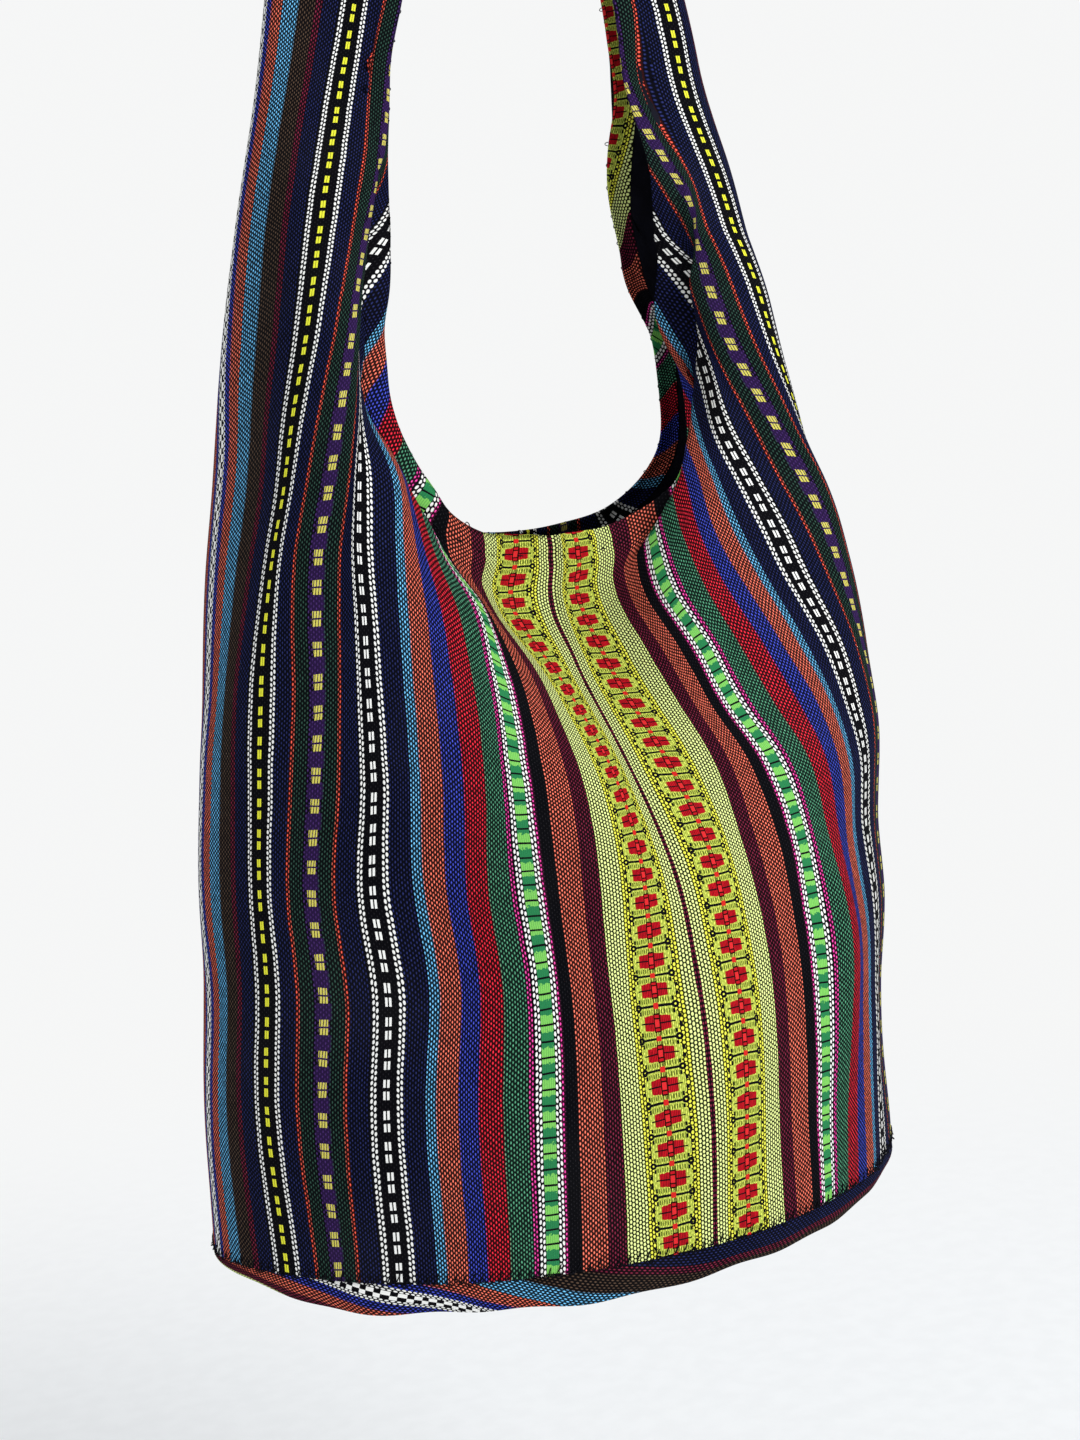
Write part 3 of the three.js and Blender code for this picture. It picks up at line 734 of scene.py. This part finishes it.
def edge_loops(line, turn, rng):
    """Small loops that stand out of one edge of an opening."""
    place = places_along(3.0, edge_run(line)[-1] - 3, EDGE_LOOP_GAP)
    place = place + rng.uniform(-3, 3, place.shape)
    at = place + np.cos(turn) * rng.uniform(0.4, 0.9, place.shape)
    reach = rng.uniform(0.2, 0.8, place.shape) + 1.4 * (rng.random(place.shape) < LONG_LOOP_SHARE)
    foot = cloth_point(*along_edge(line, at, 0.0), 0.5)
    away = unit_rows(foot - cloth_point(*along_edge(line, at, 3.0), 0.5))
    path = foot + away * (np.sin(turn) * reach - 0.1)[..., None]
    path[..., 1] += np.sin(turn * 2) * rng.uniform(-0.4, 0.4, place.shape)
    return path


def seam_loops(turn, rng):
    """Small loops that hang out of the base seam."""
    half = ring_length[-1]
    place = places_along(-half, half, SEAM_LOOP_GAP)
    place = place + rng.uniform(-1, 1, place.shape)
    at_u = place / STRIPE + np.cos(turn) * rng.uniform(0.5, 1.2, place.shape)
    at_v = np.broadcast_to(0.3 + rng.uniform(0, 0.9, place.shape), at_u.shape)
    path = cloth_point(at_u, at_v, 0.1 - np.sin(turn) * rng.uniform(0.3, 1.2, place.shape))
    path[..., 2] -= np.sin(turn) * rng.uniform(0, 1.5, place.shape)
    return path


def weft_loops():
    """Black weft that loops out of the cloth's edges and the base seam."""
    build = Build()
    rng = np.random.default_rng(LOOP_SEED)
    turn = np.linspace(0, math.pi, 7)
    paths = [edge_loops(line, turn, rng) for line in edge_paths()]
    paths.append(seam_loops(turn, rng))
    for number, path in enumerate(np.concatenate(paths)):
        thread(build, path, LOOP_RADIUS, number, sides=4)
    return build.mesh("weft_loops", FINE_WELD)


# Materials, written as formulas of fields
class Field:
    """One number of a node tree."""

    def __init__(self, tree, socket):
        self.tree = tree
        self.socket = socket

    def node(self, operation, *values):
        node = self.tree.nodes.new("ShaderNodeMath")
        node.operation = operation
        for slot, value in zip(node.inputs, values):
            if isinstance(value, Field):
                self.tree.links.new(value.socket, slot)
            else:
                slot.default_value = float(value)
        return Field(self.tree, node.outputs[0])

    def __add__(self, other):
        return self.node("ADD", self, other)

    def __sub__(self, other):
        return self.node("SUBTRACT", self, other)

    def __rsub__(self, other):
        return self.node("SUBTRACT", other, self)

    def __mul__(self, other):
        return self.node("MULTIPLY", self, other)

    def __truediv__(self, other):
        return self.node("DIVIDE", self, other)

    __radd__ = __add__
    __rmul__ = __mul__

    def abs(self):
        return self.node("ABSOLUTE", self)

    def fract(self):
        return self.node("FRACT", self)

    def floor(self):
        return self.node("FLOOR", self)

    def above(self, edge):
        return self.node("GREATER_THAN", self, edge)

    def below(self, edge):
        return self.node("LESS_THAN", self, edge)

    def larger(self, other):
        return self.node("MAXIMUM", self, other)

    def within(self, low, high):
        return self.above(low) * self.below(high)

    def odd(self):
        """1 where a whole number is odd, else 0."""
        return (self * 0.5).fract() * 2

    def ramp(self, low, high):
        """0 at low, 1 at high, smooth between; low may be the larger one."""
        node = self.tree.nodes.new("ShaderNodeMapRange")
        node.interpolation_type = "SMOOTHSTEP"
        self.tree.links.new(self.socket, node.inputs["Value"])
        flipped = low > high
        node.inputs["From Min"].default_value = min(low, high)
        node.inputs["From Max"].default_value = max(low, high)
        node.inputs["To Min"].default_value = 1.0 if flipped else 0.0
        node.inputs["To Max"].default_value = 0.0 if flipped else 1.0
        return Field(self.tree, node.outputs["Result"])


def length_of(a, b):
    return a.node("SQRT", a * a + b * b)


def linear(color):
    """Linear light of an sRGB colour written 0 to 255."""
    out = []
    for part in color:
        part /= 255
        out.append(part / 12.92 if part <= 0.04045 else ((part + 0.055) / 1.055) ** 2.4)
    return (*out, 1.0)


RAMP_STOPS = 30          # colours to one ramp node


class Colors:
    """Colour mixing in a node tree."""

    def __init__(self, tree):
        self.tree = tree

    def mix(self, share, a, b, blend="MIX"):
        node = self.tree.nodes.new("ShaderNodeMix")
        node.data_type = "RGBA"
        node.blend_type = blend
        factor = node.inputs["Factor"]
        sockets = [s for s in node.inputs if s.type == "RGBA"]
        if isinstance(share, Field):
            self.tree.links.new(share.socket, factor)
        else:
            factor.default_value = share
        for slot, value in zip(sockets, (a, b)):
            if isinstance(value, tuple):
                slot.default_value = linear(value)
            else:
                self.tree.links.new(value, slot)
        return [s for s in node.outputs if s.type == "RGBA"][0]

    def bands(self, position, stops):
        """Colour by position: stops are (upper end, colour) in rising order, in several ramps."""
        result = None
        start = 0.0
        for first in range(0, len(stops), RAMP_STOPS):
            part = stops[first:first + RAMP_STOPS]
            end = part[-1][0]
            node = self.tree.nodes.new("ShaderNodeValToRGB")
            ramp = node.color_ramp
            ramp.interpolation = "CONSTANT"
            ramp.elements[0].position = 0.0
            ramp.elements[0].color = linear(part[0][1])
            ramp.elements.remove(ramp.elements[1])
            for (edge, _), (_, color) in zip(part, part[1:]):
                ramp.elements.new((edge - start) / (end - start)).color = linear(color)
            share = (position - start) / (end - start)
            self.tree.links.new(share.socket, node.inputs["Fac"])
            color = node.outputs["Color"]
            result = color if result is None else self.mix(position.above(start), result, color)
            start = end
        return result

    def grey(self, level):
        """Grey of the level in all three channels."""
        node = self.tree.nodes.new("ShaderNodeCombineColor")
        for slot in node.inputs:
            self.tree.links.new(level.socket, slot)
        return node.outputs[0]

    def noise(self, vector, scale, detail):
        node = self.tree.nodes.new("ShaderNodeTexNoise")
        node.inputs["Scale"].default_value = scale
        node.inputs["Detail"].default_value = detail
        self.tree.links.new(vector, node.inputs["Vector"])
        return Field(self.tree, node.outputs["Fac"])

    def random(self, x, y):
        """A random share for each cell."""
        node = self.tree.nodes.new("ShaderNodeTexWhiteNoise")
        node.noise_dimensions = "2D"
        self.tree.links.new(self.vector(x, y), node.inputs["Vector"])
        return Field(self.tree, node.outputs["Value"])

    def vector(self, x, y):
        node = self.tree.nodes.new("ShaderNodeCombineXYZ")
        for slot, value in zip(node.inputs, (x, y)):
            self.tree.links.new(value.socket, slot)
        return node.outputs[0]


ORANGE = (232, 112, 90)
LIGHT_BLUE = (104, 180, 226)
BROWN = (74, 58, 46)
MAROON = (112, 30, 54)
NAVY = (28, 35, 80)
BLACK = (13, 13, 18)
DARK_GREEN = (38, 66, 56)
PURPLE = (60, 36, 92)
BLUE = (60, 72, 182)
RED = (214, 38, 56)
GREEN = (74, 138, 106)
PINK = (232, 66, 158)
SPECKLE = (226, 246, 128)
LIME = (232, 244, 62)
WHITE = (244, 244, 240)
BEAD_RED = (226, 84, 66)
FLOWER_RED = (208, 26, 38)
WEFT = (8, 8, 12)
YELLOW = (232, 232, 62)

# Stripes from centre front to centre back: upper end of each band and its warp colour
STRIPES = [
    (1.0, MAROON), (5.75, SPECKLE), (25.6, LIME), (33.9, SPECKLE), (41.1, MAROON), (50.6, ORANGE),
    (55.4, BLACK), (56.8, PINK), (66.3, BLACK), (67.7, PINK), (76.4, GREEN), (85.1, RED),
    (93.1, BLUE), (101.8, ORANGE), (105.8, LIGHT_BLUE), (114.5, NAVY), (126.8, BLACK),
    (134.7, NAVY), (136.3, BEAD_RED), (141.5, DARK_GREEN), (147.4, PURPLE), (152.6, DARK_GREEN),
    (154.2, BEAD_RED), (160.5, NAVY), (173.2, BLACK), (179.6, NAVY), (183.5, MAROON),
    (190.3, BROWN), (197.8, LIGHT_BLUE), (203.4, ORANGE), (206.5, BLUE), (212.9, BLACK),
    (216.1, BLUE), (221.6, ORANGE), (227.6, MAROON), (235.5, SPECKLE), (255.4, LIME),
    (263.5, SPECKLE), (270.5, MAROON), (280, ORANGE), (285, BLACK), (286.4, PINK),
    (295.6, BLACK), (297, PINK), (306, GREEN), (315, RED), (323, BLUE), (332, ORANGE),
    (336, LIGHT_BLUE), (345, NAVY), (357, BLACK), (365, NAVY), (366.6, BEAD_RED),
    (371.5, DARK_GREEN), (377.5, PURPLE), (382.2, DARK_GREEN), (383.8, BEAD_RED), (390, NAVY),
    (402.7, BLACK), (409, NAVY), (413, MAROON), (420, BROWN), (427.5, LIGHT_BLUE),
    (433, ORANGE), (436, BLUE), (442.5, BLACK), (446, BLUE), (BACK_U + 2, ORANGE)]
REPEAT = 10.7            # mm of warp to one flower
WHITE_DASHES = (120.65, 351.0)
YELLOW_DASHES = (166.85, 396.35)
YELLOW_BLOCKS = (144.45, 374.5)
GREEN_BLOCKS = (61.55, 291.0)
FLOWERS = (15.7, 245.4)
CHEQUERS = (209.7, 439.2)


def nearest(position, centres):
    """Signed distance to the nearer one of two centres."""
    first, second = centres
    far = position.above((first + second) / 2)
    return position - first - far * (second - first)


def beads(x, along, centre, half_width, pitch):
    """Two columns of slanted beads, |x| from centre - half_width to centre + half_width."""
    local = x.abs() - centre
    column = local.above(0)
    cell = (along / pitch + 0.5 * column + local * 0.16).fract() - 0.5
    across = (local.abs() - half_width / 2) / (half_width / 2)
    reach = length_of(across * 1.25, cell * 2.65)
    inside = local.abs().below(half_width)
    return reach.ramp(1.08, 0.8) * inside


GRAIN_WIDTH = 0.98       # stripe units across one warp float
GRAIN_PITCH = 1.75       # mm along it to the next
GROUND_WIDTH = 1.25      # the same for the bigger floats beside the flowers
GROUND_PITCH = 1.55
THREAD_WIDTH = 0.62
# Colour of the painted highlight mixed in at the crown of each warp float
GRAIN_HIGHLIGHT = (226, 214, 206)
STROKE_YELLOW = (214, 204, 96)
LEAF_LIGHT = (128, 204, 96)
LEAF_DARK = (44, 128, 78)
LEAF_SHADE = (30, 96, 60)
FADED = (150, 146, 142)
LINT = (120, 120, 128)
FLOAT_DARK = (22, 26, 10)
FLOAT_PALE = (238, 250, 160)
GROUND_DARK = (16, 16, 8)
GROUND_YELLOW = (244, 244, 84)
GLOW_DARK = (120, 142, 30)
GLOW_LIGHT = (242, 248, 116)
TEETH_GREEN = (34, 50, 12)
OUTLINE_BROWN = (30, 14, 8)
PETAL_DARK = (92, 8, 16)
HEART_RED = (216, 44, 48)
STAMEN_RED = (188, 24, 34)
BUD_RED = (206, 40, 36)
STEM_BROWN = (60, 26, 14)
SCALLOP_CURVE = 28.6     # roundness of the field beside each flower


def new_material(name):
    material = bpy.data.materials.new(name)
    material.use_nodes = True
    material.node_tree.nodes.clear()
    return material, material.node_tree


def cloth_place(tree):
    """Both coordinates of the Cloth UV map."""
    uv = tree.nodes.new("ShaderNodeUVMap")
    uv.uv_map = "Cloth"
    split = tree.nodes.new("ShaderNodeSeparateXYZ")
    tree.links.new(uv.outputs[0], split.inputs[0])
    return Field(tree, split.outputs[0]), Field(tree, split.outputs[1])


def cloth_surface(tree, color, rough, specular, height, strength, depth):
    """Matt shader, with a bump of depth metres from the height of the threads."""
    shader = tree.nodes.new("ShaderNodeBsdfPrincipled")
    tree.links.new(color, shader.inputs["Base Color"])
    tree.links.new(rough.socket, shader.inputs["Roughness"])
    shader.inputs["Specular IOR Level"].default_value = specular
    bump = tree.nodes.new("ShaderNodeBump")
    bump.inputs["Strength"].default_value = strength
    bump.inputs["Distance"].default_value = depth
    tree.links.new(height.socket, bump.inputs["Height"])
    tree.links.new(bump.outputs[0], shader.inputs["Normal"])
    out = tree.nodes.new("ShaderNodeOutputMaterial")
    tree.links.new(shader.outputs[0], out.inputs[0])


class Weave:
    """Place in the striped cloth, and its colour and height as the patterns are laid over it."""

    def __init__(self, tree):
        colors = Colors(tree)
        raw_u, raw_v = cloth_place(tree)
        self.colors = colors
        self.flat = colors.vector(raw_u, raw_v)
        drift = colors.noise(self.flat, 0.09, 1.0) - 0.5
        self.fine = colors.noise(self.flat, 0.9, 2.0)
        self.stripe = (raw_u.abs() + drift * 0.5).abs()
        self.along = raw_v + (colors.noise(self.flat, 0.05, 1.0) - 0.5) * 3.0
        self.period = (self.along / REPEAT).fract() * REPEAT - REPEAT / 2
        self.color = self.height = None
        self.grain = self.crown = self.uneven = None

    def tint(self, mask, color):
        self.color = self.colors.mix(mask, self.color, color)

    def paint(self, mask, color, relief=0.9):
        self.tint(mask, color)
        self.height = self.height * (1 - mask) + mask * relief


def warp_floats(weave):
    """Floats like grains of rice over black weft, in the colours of the stripes, with painted
    highlights on their crowns and painted shade towards their edges.
    """
    colors = weave.colors
    column = (weave.stripe / GRAIN_WIDTH).floor()
    place = weave.along / GRAIN_PITCH + column.odd() * 0.5
    cell_x = (weave.stripe / GRAIN_WIDTH).fract() - 0.5
    cell_y = (place + weave.fine * 0.2).fract() - 0.5
    reach = length_of(cell_x * 3.0, cell_y * 2.95)
    weave.grain = reach.ramp(1.08, 0.72)
    weave.crown = reach.ramp(0.8, 0.0)
    weave.uneven = colors.random(column, place.floor())
    warp = colors.bands(weave.stripe, STRIPES)
    # Painted light: each grain is darkened towards its edges and brightened towards its crown, plus a
    # little random tone; then a pale painted highlight is mixed in at the crown
    shade = 0.8 + weave.crown * 1.3 + (weave.uneven - 0.5) * 0.6
    lit = colors.mix(1.0, warp, colors.grey(shade), "MULTIPLY")
    lit = colors.mix(weave.crown * 0.015, lit, GRAIN_HIGHLIGHT)
    weave.color = colors.mix(weave.grain, colors.mix(0.97, warp, WEFT), lit)
    weave.height = weave.grain * 0.6 + weave.crown * 0.4


def dashed_chains(weave):
    """White chains beside paired white dashes, and beside one column of yellow dashes."""
    rows = weave.period.within(-4.5, -1.6).larger(weave.period.within(-0.2, 2.7))
    x = nearest(weave.stripe, WHITE_DASHES)
    weave.paint(beads(x, weave.along, 4.85, 1.3, 2.1), WHITE)
    weave.paint(x.abs().within(0.25, 1.15) * rows, WHITE)
    x = nearest(weave.stripe, YELLOW_DASHES)
    weave.paint(beads(x, weave.along, 4.7, 1.15, 1.9), WHITE)
    weave.paint(x.abs().within(0.08, 0.85) * rows, YELLOW)


def chequers(weave):
    x = nearest(weave.stripe, CHEQUERS)
    upper = (weave.along / (REPEAT / 2)).fract().above(0.45)
    same = (upper - x.above(0)).abs()
    weave.paint(x.abs().below(1.5) * same, WHITE)
    weave.paint(beads(x, weave.along, 2.4, 0.85, 1.9), WHITE)


def yellow_strokes(weave):
    """Slanted yellow strokes on the purple stripe."""
    rows = weave.period.within(-3.4, -1.1).larger(weave.period.within(-0.5, 1.8))
    x = nearest(weave.stripe, YELLOW_BLOCKS)
    lines = ((x + weave.period * 0.08) / 1.05).fract().above(0.3)
    weave.paint(x.abs().below(1.6) * lines * rows, STROKE_YELLOW)
    weave.tint(x.abs().below(2.9) * (1 - rows) * 0.4, PURPLE)


def green_blocks(weave):
    """Light and dark green blocks between white beads."""
    colors = weave.colors
    x = nearest(weave.stripe, GREEN_BLOCKS)
    block = (weave.along / (REPEAT / 2)).fract()
    tone = (weave.along / REPEAT + weave.fine * 0.3).fract().above(0.5)
    green = colors.mix(tone, LEAF_LIGHT, LEAF_DARK)
    green = colors.mix((x / 0.8).fract().above(0.7) * 0.4, green, LEAF_SHADE)
    inside = x.abs().below(2.35)
    crowned = 0.7 + 0.3 * block.ramp(0.0, 0.2) * block.ramp(1.0, 0.8)
    weave.paint(inside, green, crowned)
    weave.paint(inside * block.below(0.13), BLACK, 0.1)
    weave.paint(beads(x, weave.along, 3.55, 1.2, 2.2), WHITE)


def flower_ground(weave, x):
    """Bigger floats beside the flowers, and the glowing field that scallops round each one."""
    colors = weave.colors
    ax, ay = x.abs(), weave.period.abs()
    band = ax.below(9.95)
    column = (x / GROUND_WIDTH).floor()
    cell_x = (x / GROUND_WIDTH).fract() - 0.5
    cell_y = (weave.along / GROUND_PITCH + column.odd() * 0.5 + weave.fine * 0.35).fract() - 0.5
    knots = length_of(cell_x * 2.5, cell_y * 2.4).ramp(1.08, 0.75)
    outside = ax.within(9.95, 18.2) * weave.stripe.above(1.0)
    weave.paint(outside, colors.mix(knots, FLOAT_DARK, FLOAT_PALE), knots)
    ground = colors.mix(knots, GROUND_DARK, GROUND_YELLOW)
    bulge = (1 - ay * ay / SCALLOP_CURVE) * 1.7
    field = (ax - bulge + (weave.fine - 0.5) * 1.6).below(5.7)
    threads = (x / THREAD_WIDTH).fract().ramp(0.95, 0.45) * (0.45 + weave.grain * 0.55)
    glow = colors.mix(threads, GLOW_DARK, GLOW_LIGHT)
    ground = colors.mix(field, ground, glow)
    teeth = (x / 0.9).fract().above(0.6) * ay.within(2.8, 4.3) * ax.below(5.6)
    ground = colors.mix(teeth * 0.9, ground, TEETH_GREEN)
    weave.paint(band, ground, 0.45 + 0.4 * threads)


def flower_petals(weave, x):
    """Four red petals and a heart in a dark outline."""
    ax, ay = x.abs(), weave.period.abs()
    weave.paint(ax.below(1.2) * ay.below(3.1), OUTLINE_BROWN, 0.2)
    edge = (ay + ax * 0.12 + (weave.fine - 0.5) * 0.8).below(2.75)
    petals = ax.within(1.2, 4.8) * edge * ay.above(0.24)
    strands = (x / THREAD_WIDTH).fract().ramp(1.0, 0.3) * (0.6 + weave.uneven * 0.4)
    weave.paint(petals, weave.colors.mix(strands, PETAL_DARK, FLOWER_RED), 0.75 + 0.25 * strands)
    weave.paint(ax.below(0.8) * ay.below(1.2), HEART_RED, 1.0)
    weave.paint(ax.below(0.8) * ay.within(1.7, 2.6), STAMEN_RED, 0.8)


def flower_lines(weave, x):
    """Black lines across and between the flowers, with eyes at their ends and red buds."""
    ax, ay = x.abs(), weave.period.abs()
    gap = REPEAT / 2 - ay
    weave.paint(ax.within(1.2, 6.2) * ay.below(0.24), BLACK, 0.05)
    weave.paint(ax.below(0.9) * gap.below(0.95), BUD_RED)
    weave.paint(ax.within(0.9, 6.2) * gap.below(0.42), BLACK, 0.05)
    eye = length_of(ax - 6.9, gap)
    weave.paint((eye - 0.8).abs().below(0.45), BLACK, 0.1)
    weave.paint((ax - 7.9).abs().below(0.55) * (ay - 1.5).abs().below(0.6), BLACK, 0.1)
    weave.paint((ax - 6.2).abs().below(0.4) * (ay - 3.3).abs().below(0.7), BLACK, 0.1)
    weave.paint((ax - 0.62).abs().below(0.16) * gap.within(0.9, 2.5), STEM_BROWN, 0.3)


def woven_material(name):
    """Warp-faced striped weave with its figured stripes."""
    material, tree = new_material(name)
    weave = Weave(tree)
    warp_floats(weave)
    dashed_chains(weave)
    chequers(weave)
    yellow_strokes(weave)
    green_blocks(weave)
    x = nearest(weave.stripe, FLOWERS)
    flower_ground(weave, x)
    flower_petals(weave, x)
    flower_lines(weave, x)
    worn = weave.colors.noise(weave.flat, 0.018, 3.0).ramp(0.45, 0.75)
    weave.tint(worn * 0.008, FADED)
    rough = 0.9 - weave.crown * 0.12 + (weave.fine - 0.5) * 0.1
    cloth_surface(tree, weave.color, rough, 0.03, weave.height + weave.fine * 0.2, 0.55, 0.0006)
    return material


def plain_weave_material(name, color_a, color_b, pitch=0.5):
    """Fine black lining cloth or thread."""
    material, tree = new_material(name)
    colors = Colors(tree)
    u, v = cloth_place(tree)
    flat = colors.vector(u, v)
    cell_u = (u / pitch).fract() - 0.5
    cell_v = (v / pitch).fract() - 0.5
    knot = length_of(cell_u * 2, cell_v * 2).ramp(1.1, 0.3)
    cloud = colors.noise(flat, 0.05, 3.0)
    lint = colors.noise(flat, 0.6, 4.0).ramp(0.62, 0.75)
    color = colors.mix(cloud.ramp(0.3, 0.7), color_a, color_b)
    color = colors.mix(knot * 0.35, color, color_b)
    color = colors.mix(lint * 0.04, color, LINT)
    cloth_surface(tree, color, 0.88 + cloud * 0.1 - knot * 0.08, 0.04, knot + cloud, 0.4, 0.0003)
    return material


woven = woven_material("striped_warp_weave")
black_weave = plain_weave_material("black_lining_weave", (14, 14, 20), (26, 26, 36))
black_thread = plain_weave_material("black_cotton_thread", (10, 10, 14), (30, 30, 38), pitch=0.35)
BASE_INSET, BASE_LIFT = 0.004, -0.2
BASE_LINING_INSET, BASE_LINING_LIFT = 0.014, 1.2

outer = outer_cloth()
outer.data.materials.append(woven)
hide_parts("outer_front", "outer_back", "outer_strap_left", "outer_strap_right")
inner = lining()
inner.data.materials.append(black_weave)
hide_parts("lining_front", "lining_back", "lining_strap_left", "lining_strap_right")
bottom = base("base_cloth", BASE_INSET, BASE_LIFT, BASE_SAG)
bottom.data.materials.append(woven)
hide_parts("outer_base")
floor_lining = base("base_lining", BASE_LINING_INSET, BASE_LINING_LIFT, BASE_SAG)
floor_lining.data.materials.append(black_weave)
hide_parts("lining_base")
sewing = sewing_thread()
sewing.data.materials.append(black_thread)
loops = weft_loops()
loops.data.materials.append(black_thread)
for piece, slot_name in ((outer, "striped_cloth"), (bottom, "striped_cloth"),
                         (sewing, "lining_cloth"), (loops, "lining_cloth"),
                         (inner, "lining_cloth"), (floor_lining, "lining_cloth")):
    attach(piece, "root")

# Stage: floor, world, lamps and camera
BACKDROP = (0.92, 0.925, 0.925, 1)
FLOOR_COLOR = (243, 244, 244)
FLOOR_Z = -1.15
FLOOR_REACH = 9.0
FLOOR_FADE = (0.25, 1.5)     # m from the bag over which the floor runs into the backdrop
SKY = (0.93, 0.96, 1.0, 1)
SKY_LEVEL = 0.62


def seen_directly(tree):
    """1 for camera, glossy and transmission rays, which see the backdrop."""
    paths = tree.nodes.new("ShaderNodeLightPath")
    seen = Field(tree, paths.outputs["Is Camera Ray"])
    for ray in ("Is Glossy Ray", "Is Transmission Ray"):
        seen = seen.larger(Field(tree, paths.outputs[ray]))
    return seen


def blended(tree, share, first, second, output):
    """Two shaders mixed by a share, into the output node."""
    blend = tree.nodes.new("ShaderNodeMixShader")
    tree.links.new(share.socket, blend.inputs[0])
    tree.links.new(first.outputs[0], blend.inputs[1])
    tree.links.new(second.outputs[0], blend.inputs[2])
    tree.links.new(blend.outputs[0], tree.nodes.new(output).inputs[0])


def floor_material(name, color):
    """Pale floor that keeps the shadow near the bag and runs into the backdrop far from it."""
    material, tree = new_material(name)
    colors = Colors(tree)
    place = tree.nodes.new("ShaderNodeTexCoord").outputs["Object"]
    grain = colors.noise(place, 60.0, 3.0)
    split = tree.nodes.new("ShaderNodeSeparateXYZ")
    tree.links.new(place, split.inputs[0])
    away = length_of(Field(tree, split.outputs[0]), Field(tree, split.outputs[1]))
    shader = tree.nodes.new("ShaderNodeBsdfPrincipled")
    tint = colors.mix(grain.ramp(0.3, 0.7), color, tuple(part - 3 for part in color))
    tree.links.new(tint, shader.inputs["Base Color"])
    shader.inputs["Roughness"].default_value = 0.95
    shader.inputs["Specular IOR Level"].default_value = 0.1
    glow = tree.nodes.new("ShaderNodeEmission")
    glow.inputs[0].default_value = BACKDROP
    share = away.ramp(*FLOOR_FADE) * seen_directly(tree)
    blended(tree, share, shader, glow, "ShaderNodeOutputMaterial")
    return material


def floor():
    corners = [(-FLOOR_REACH, -FLOOR_REACH, FLOOR_Z), (FLOOR_REACH, -FLOOR_REACH, FLOOR_Z),
               (FLOOR_REACH, FLOOR_REACH, FLOOR_Z), (-FLOOR_REACH, FLOOR_REACH, FLOOR_Z)]
    mesh = bpy.data.meshes.new("floor")
    mesh.from_pydata(corners, [], [(0, 1, 2, 3)])
    mesh.materials.append(floor_material("pale_floor", FLOOR_COLOR))
    piece = bpy.data.objects.new("floor", mesh)
    bpy.context.scene.collection.objects.link(piece)


def studio_world():
    """Even soft light, with the pale backdrop where the camera sees it."""
    world = bpy.data.worlds.new("studio")
    bpy.context.scene.world = world
    world.use_nodes = True
    tree = world.node_tree
    tree.nodes.clear()
    glow = tree.nodes.new("ShaderNodeBackground")
    glow.inputs[0].default_value = SKY
    glow.inputs[1].default_value = SKY_LEVEL
    backdrop = tree.nodes.new("ShaderNodeBackground")
    backdrop.inputs[0].default_value = BACKDROP
    backdrop.inputs[1].default_value = 1.0
    blended(tree, seen_directly(tree), glow, backdrop, "ShaderNodeOutputWorld")


def lamp(name, place, target, size, power):
    data = bpy.data.lights.new(name, "AREA")
    data.shape = "SQUARE"
    data.size = size
    data.energy = power
    piece = bpy.data.objects.new(name, data)
    piece.location = place
    aim = Vector(target) - Vector(place)
    piece.rotation_euler = aim.to_track_quat("-Z", "Y").to_euler()
    bpy.context.scene.collection.objects.link(piece)


# Camera: mm from the bag's middle line, mm over the base seam, and where it points. A scratch
# program fitted them to points read off the photograph by eye, and they were then rounded.
CAMERA_DISTANCE = 728.0
CAMERA_HEIGHT = 216.0
CAMERA_YAW = math.radians(25.2)
CAMERA_PITCH = math.radians(-2.6)
CAMERA_ROLL = math.radians(-4.0)
FOCAL_PIXELS = 1800.0
IMAGE_HEIGHT = 1440.0
SENSOR_HEIGHT = 24.0


def photo_camera():
    ahead = Vector((math.sin(CAMERA_YAW) * math.cos(CAMERA_PITCH),
                    math.cos(CAMERA_YAW) * math.cos(CAMERA_PITCH), math.sin(CAMERA_PITCH)))
    level = Vector((math.cos(CAMERA_YAW), -math.sin(CAMERA_YAW), 0))
    above = level.cross(ahead)
    right = math.cos(CAMERA_ROLL) * level + math.sin(CAMERA_ROLL) * above
    up = math.cos(CAMERA_ROLL) * above - math.sin(CAMERA_ROLL) * level
    data = bpy.data.cameras.new("camera")
    data.sensor_fit = "VERTICAL"
    data.sensor_height = SENSOR_HEIGHT
    data.lens = SENSOR_HEIGHT * FOCAL_PIXELS / IMAGE_HEIGHT
    data.clip_start = 0.02
    camera = bpy.data.objects.new("camera", data)
    place = Vector((-math.sin(VIEW_AZIMUTH) * CAMERA_DISTANCE,
                    -math.cos(VIEW_AZIMUTH) * CAMERA_DISTANCE, CAMERA_HEIGHT - BASE_DROP)) * MM
    turn = Matrix((right, up, -ahead)).transposed()
    camera.matrix_world = Matrix.Translation(place) @ turn.to_4x4()
    bpy.context.scene.collection.objects.link(camera)
    bpy.context.scene.camera = camera


floor()
studio_world()
lamp("key", (0.9, -1.9, 0.5), (0, 0, -0.7), 1.4, 40)
lamp("fill", (-2.1, -1.2, -0.3), (0, 0, -0.7), 1.6, 6)
lamp("back", (0.6, 2.0, 0.4), (0, 0, -0.6), 1.6, 16)
photo_camera()
bpy.context.scene.view_settings.view_transform = "Standard"
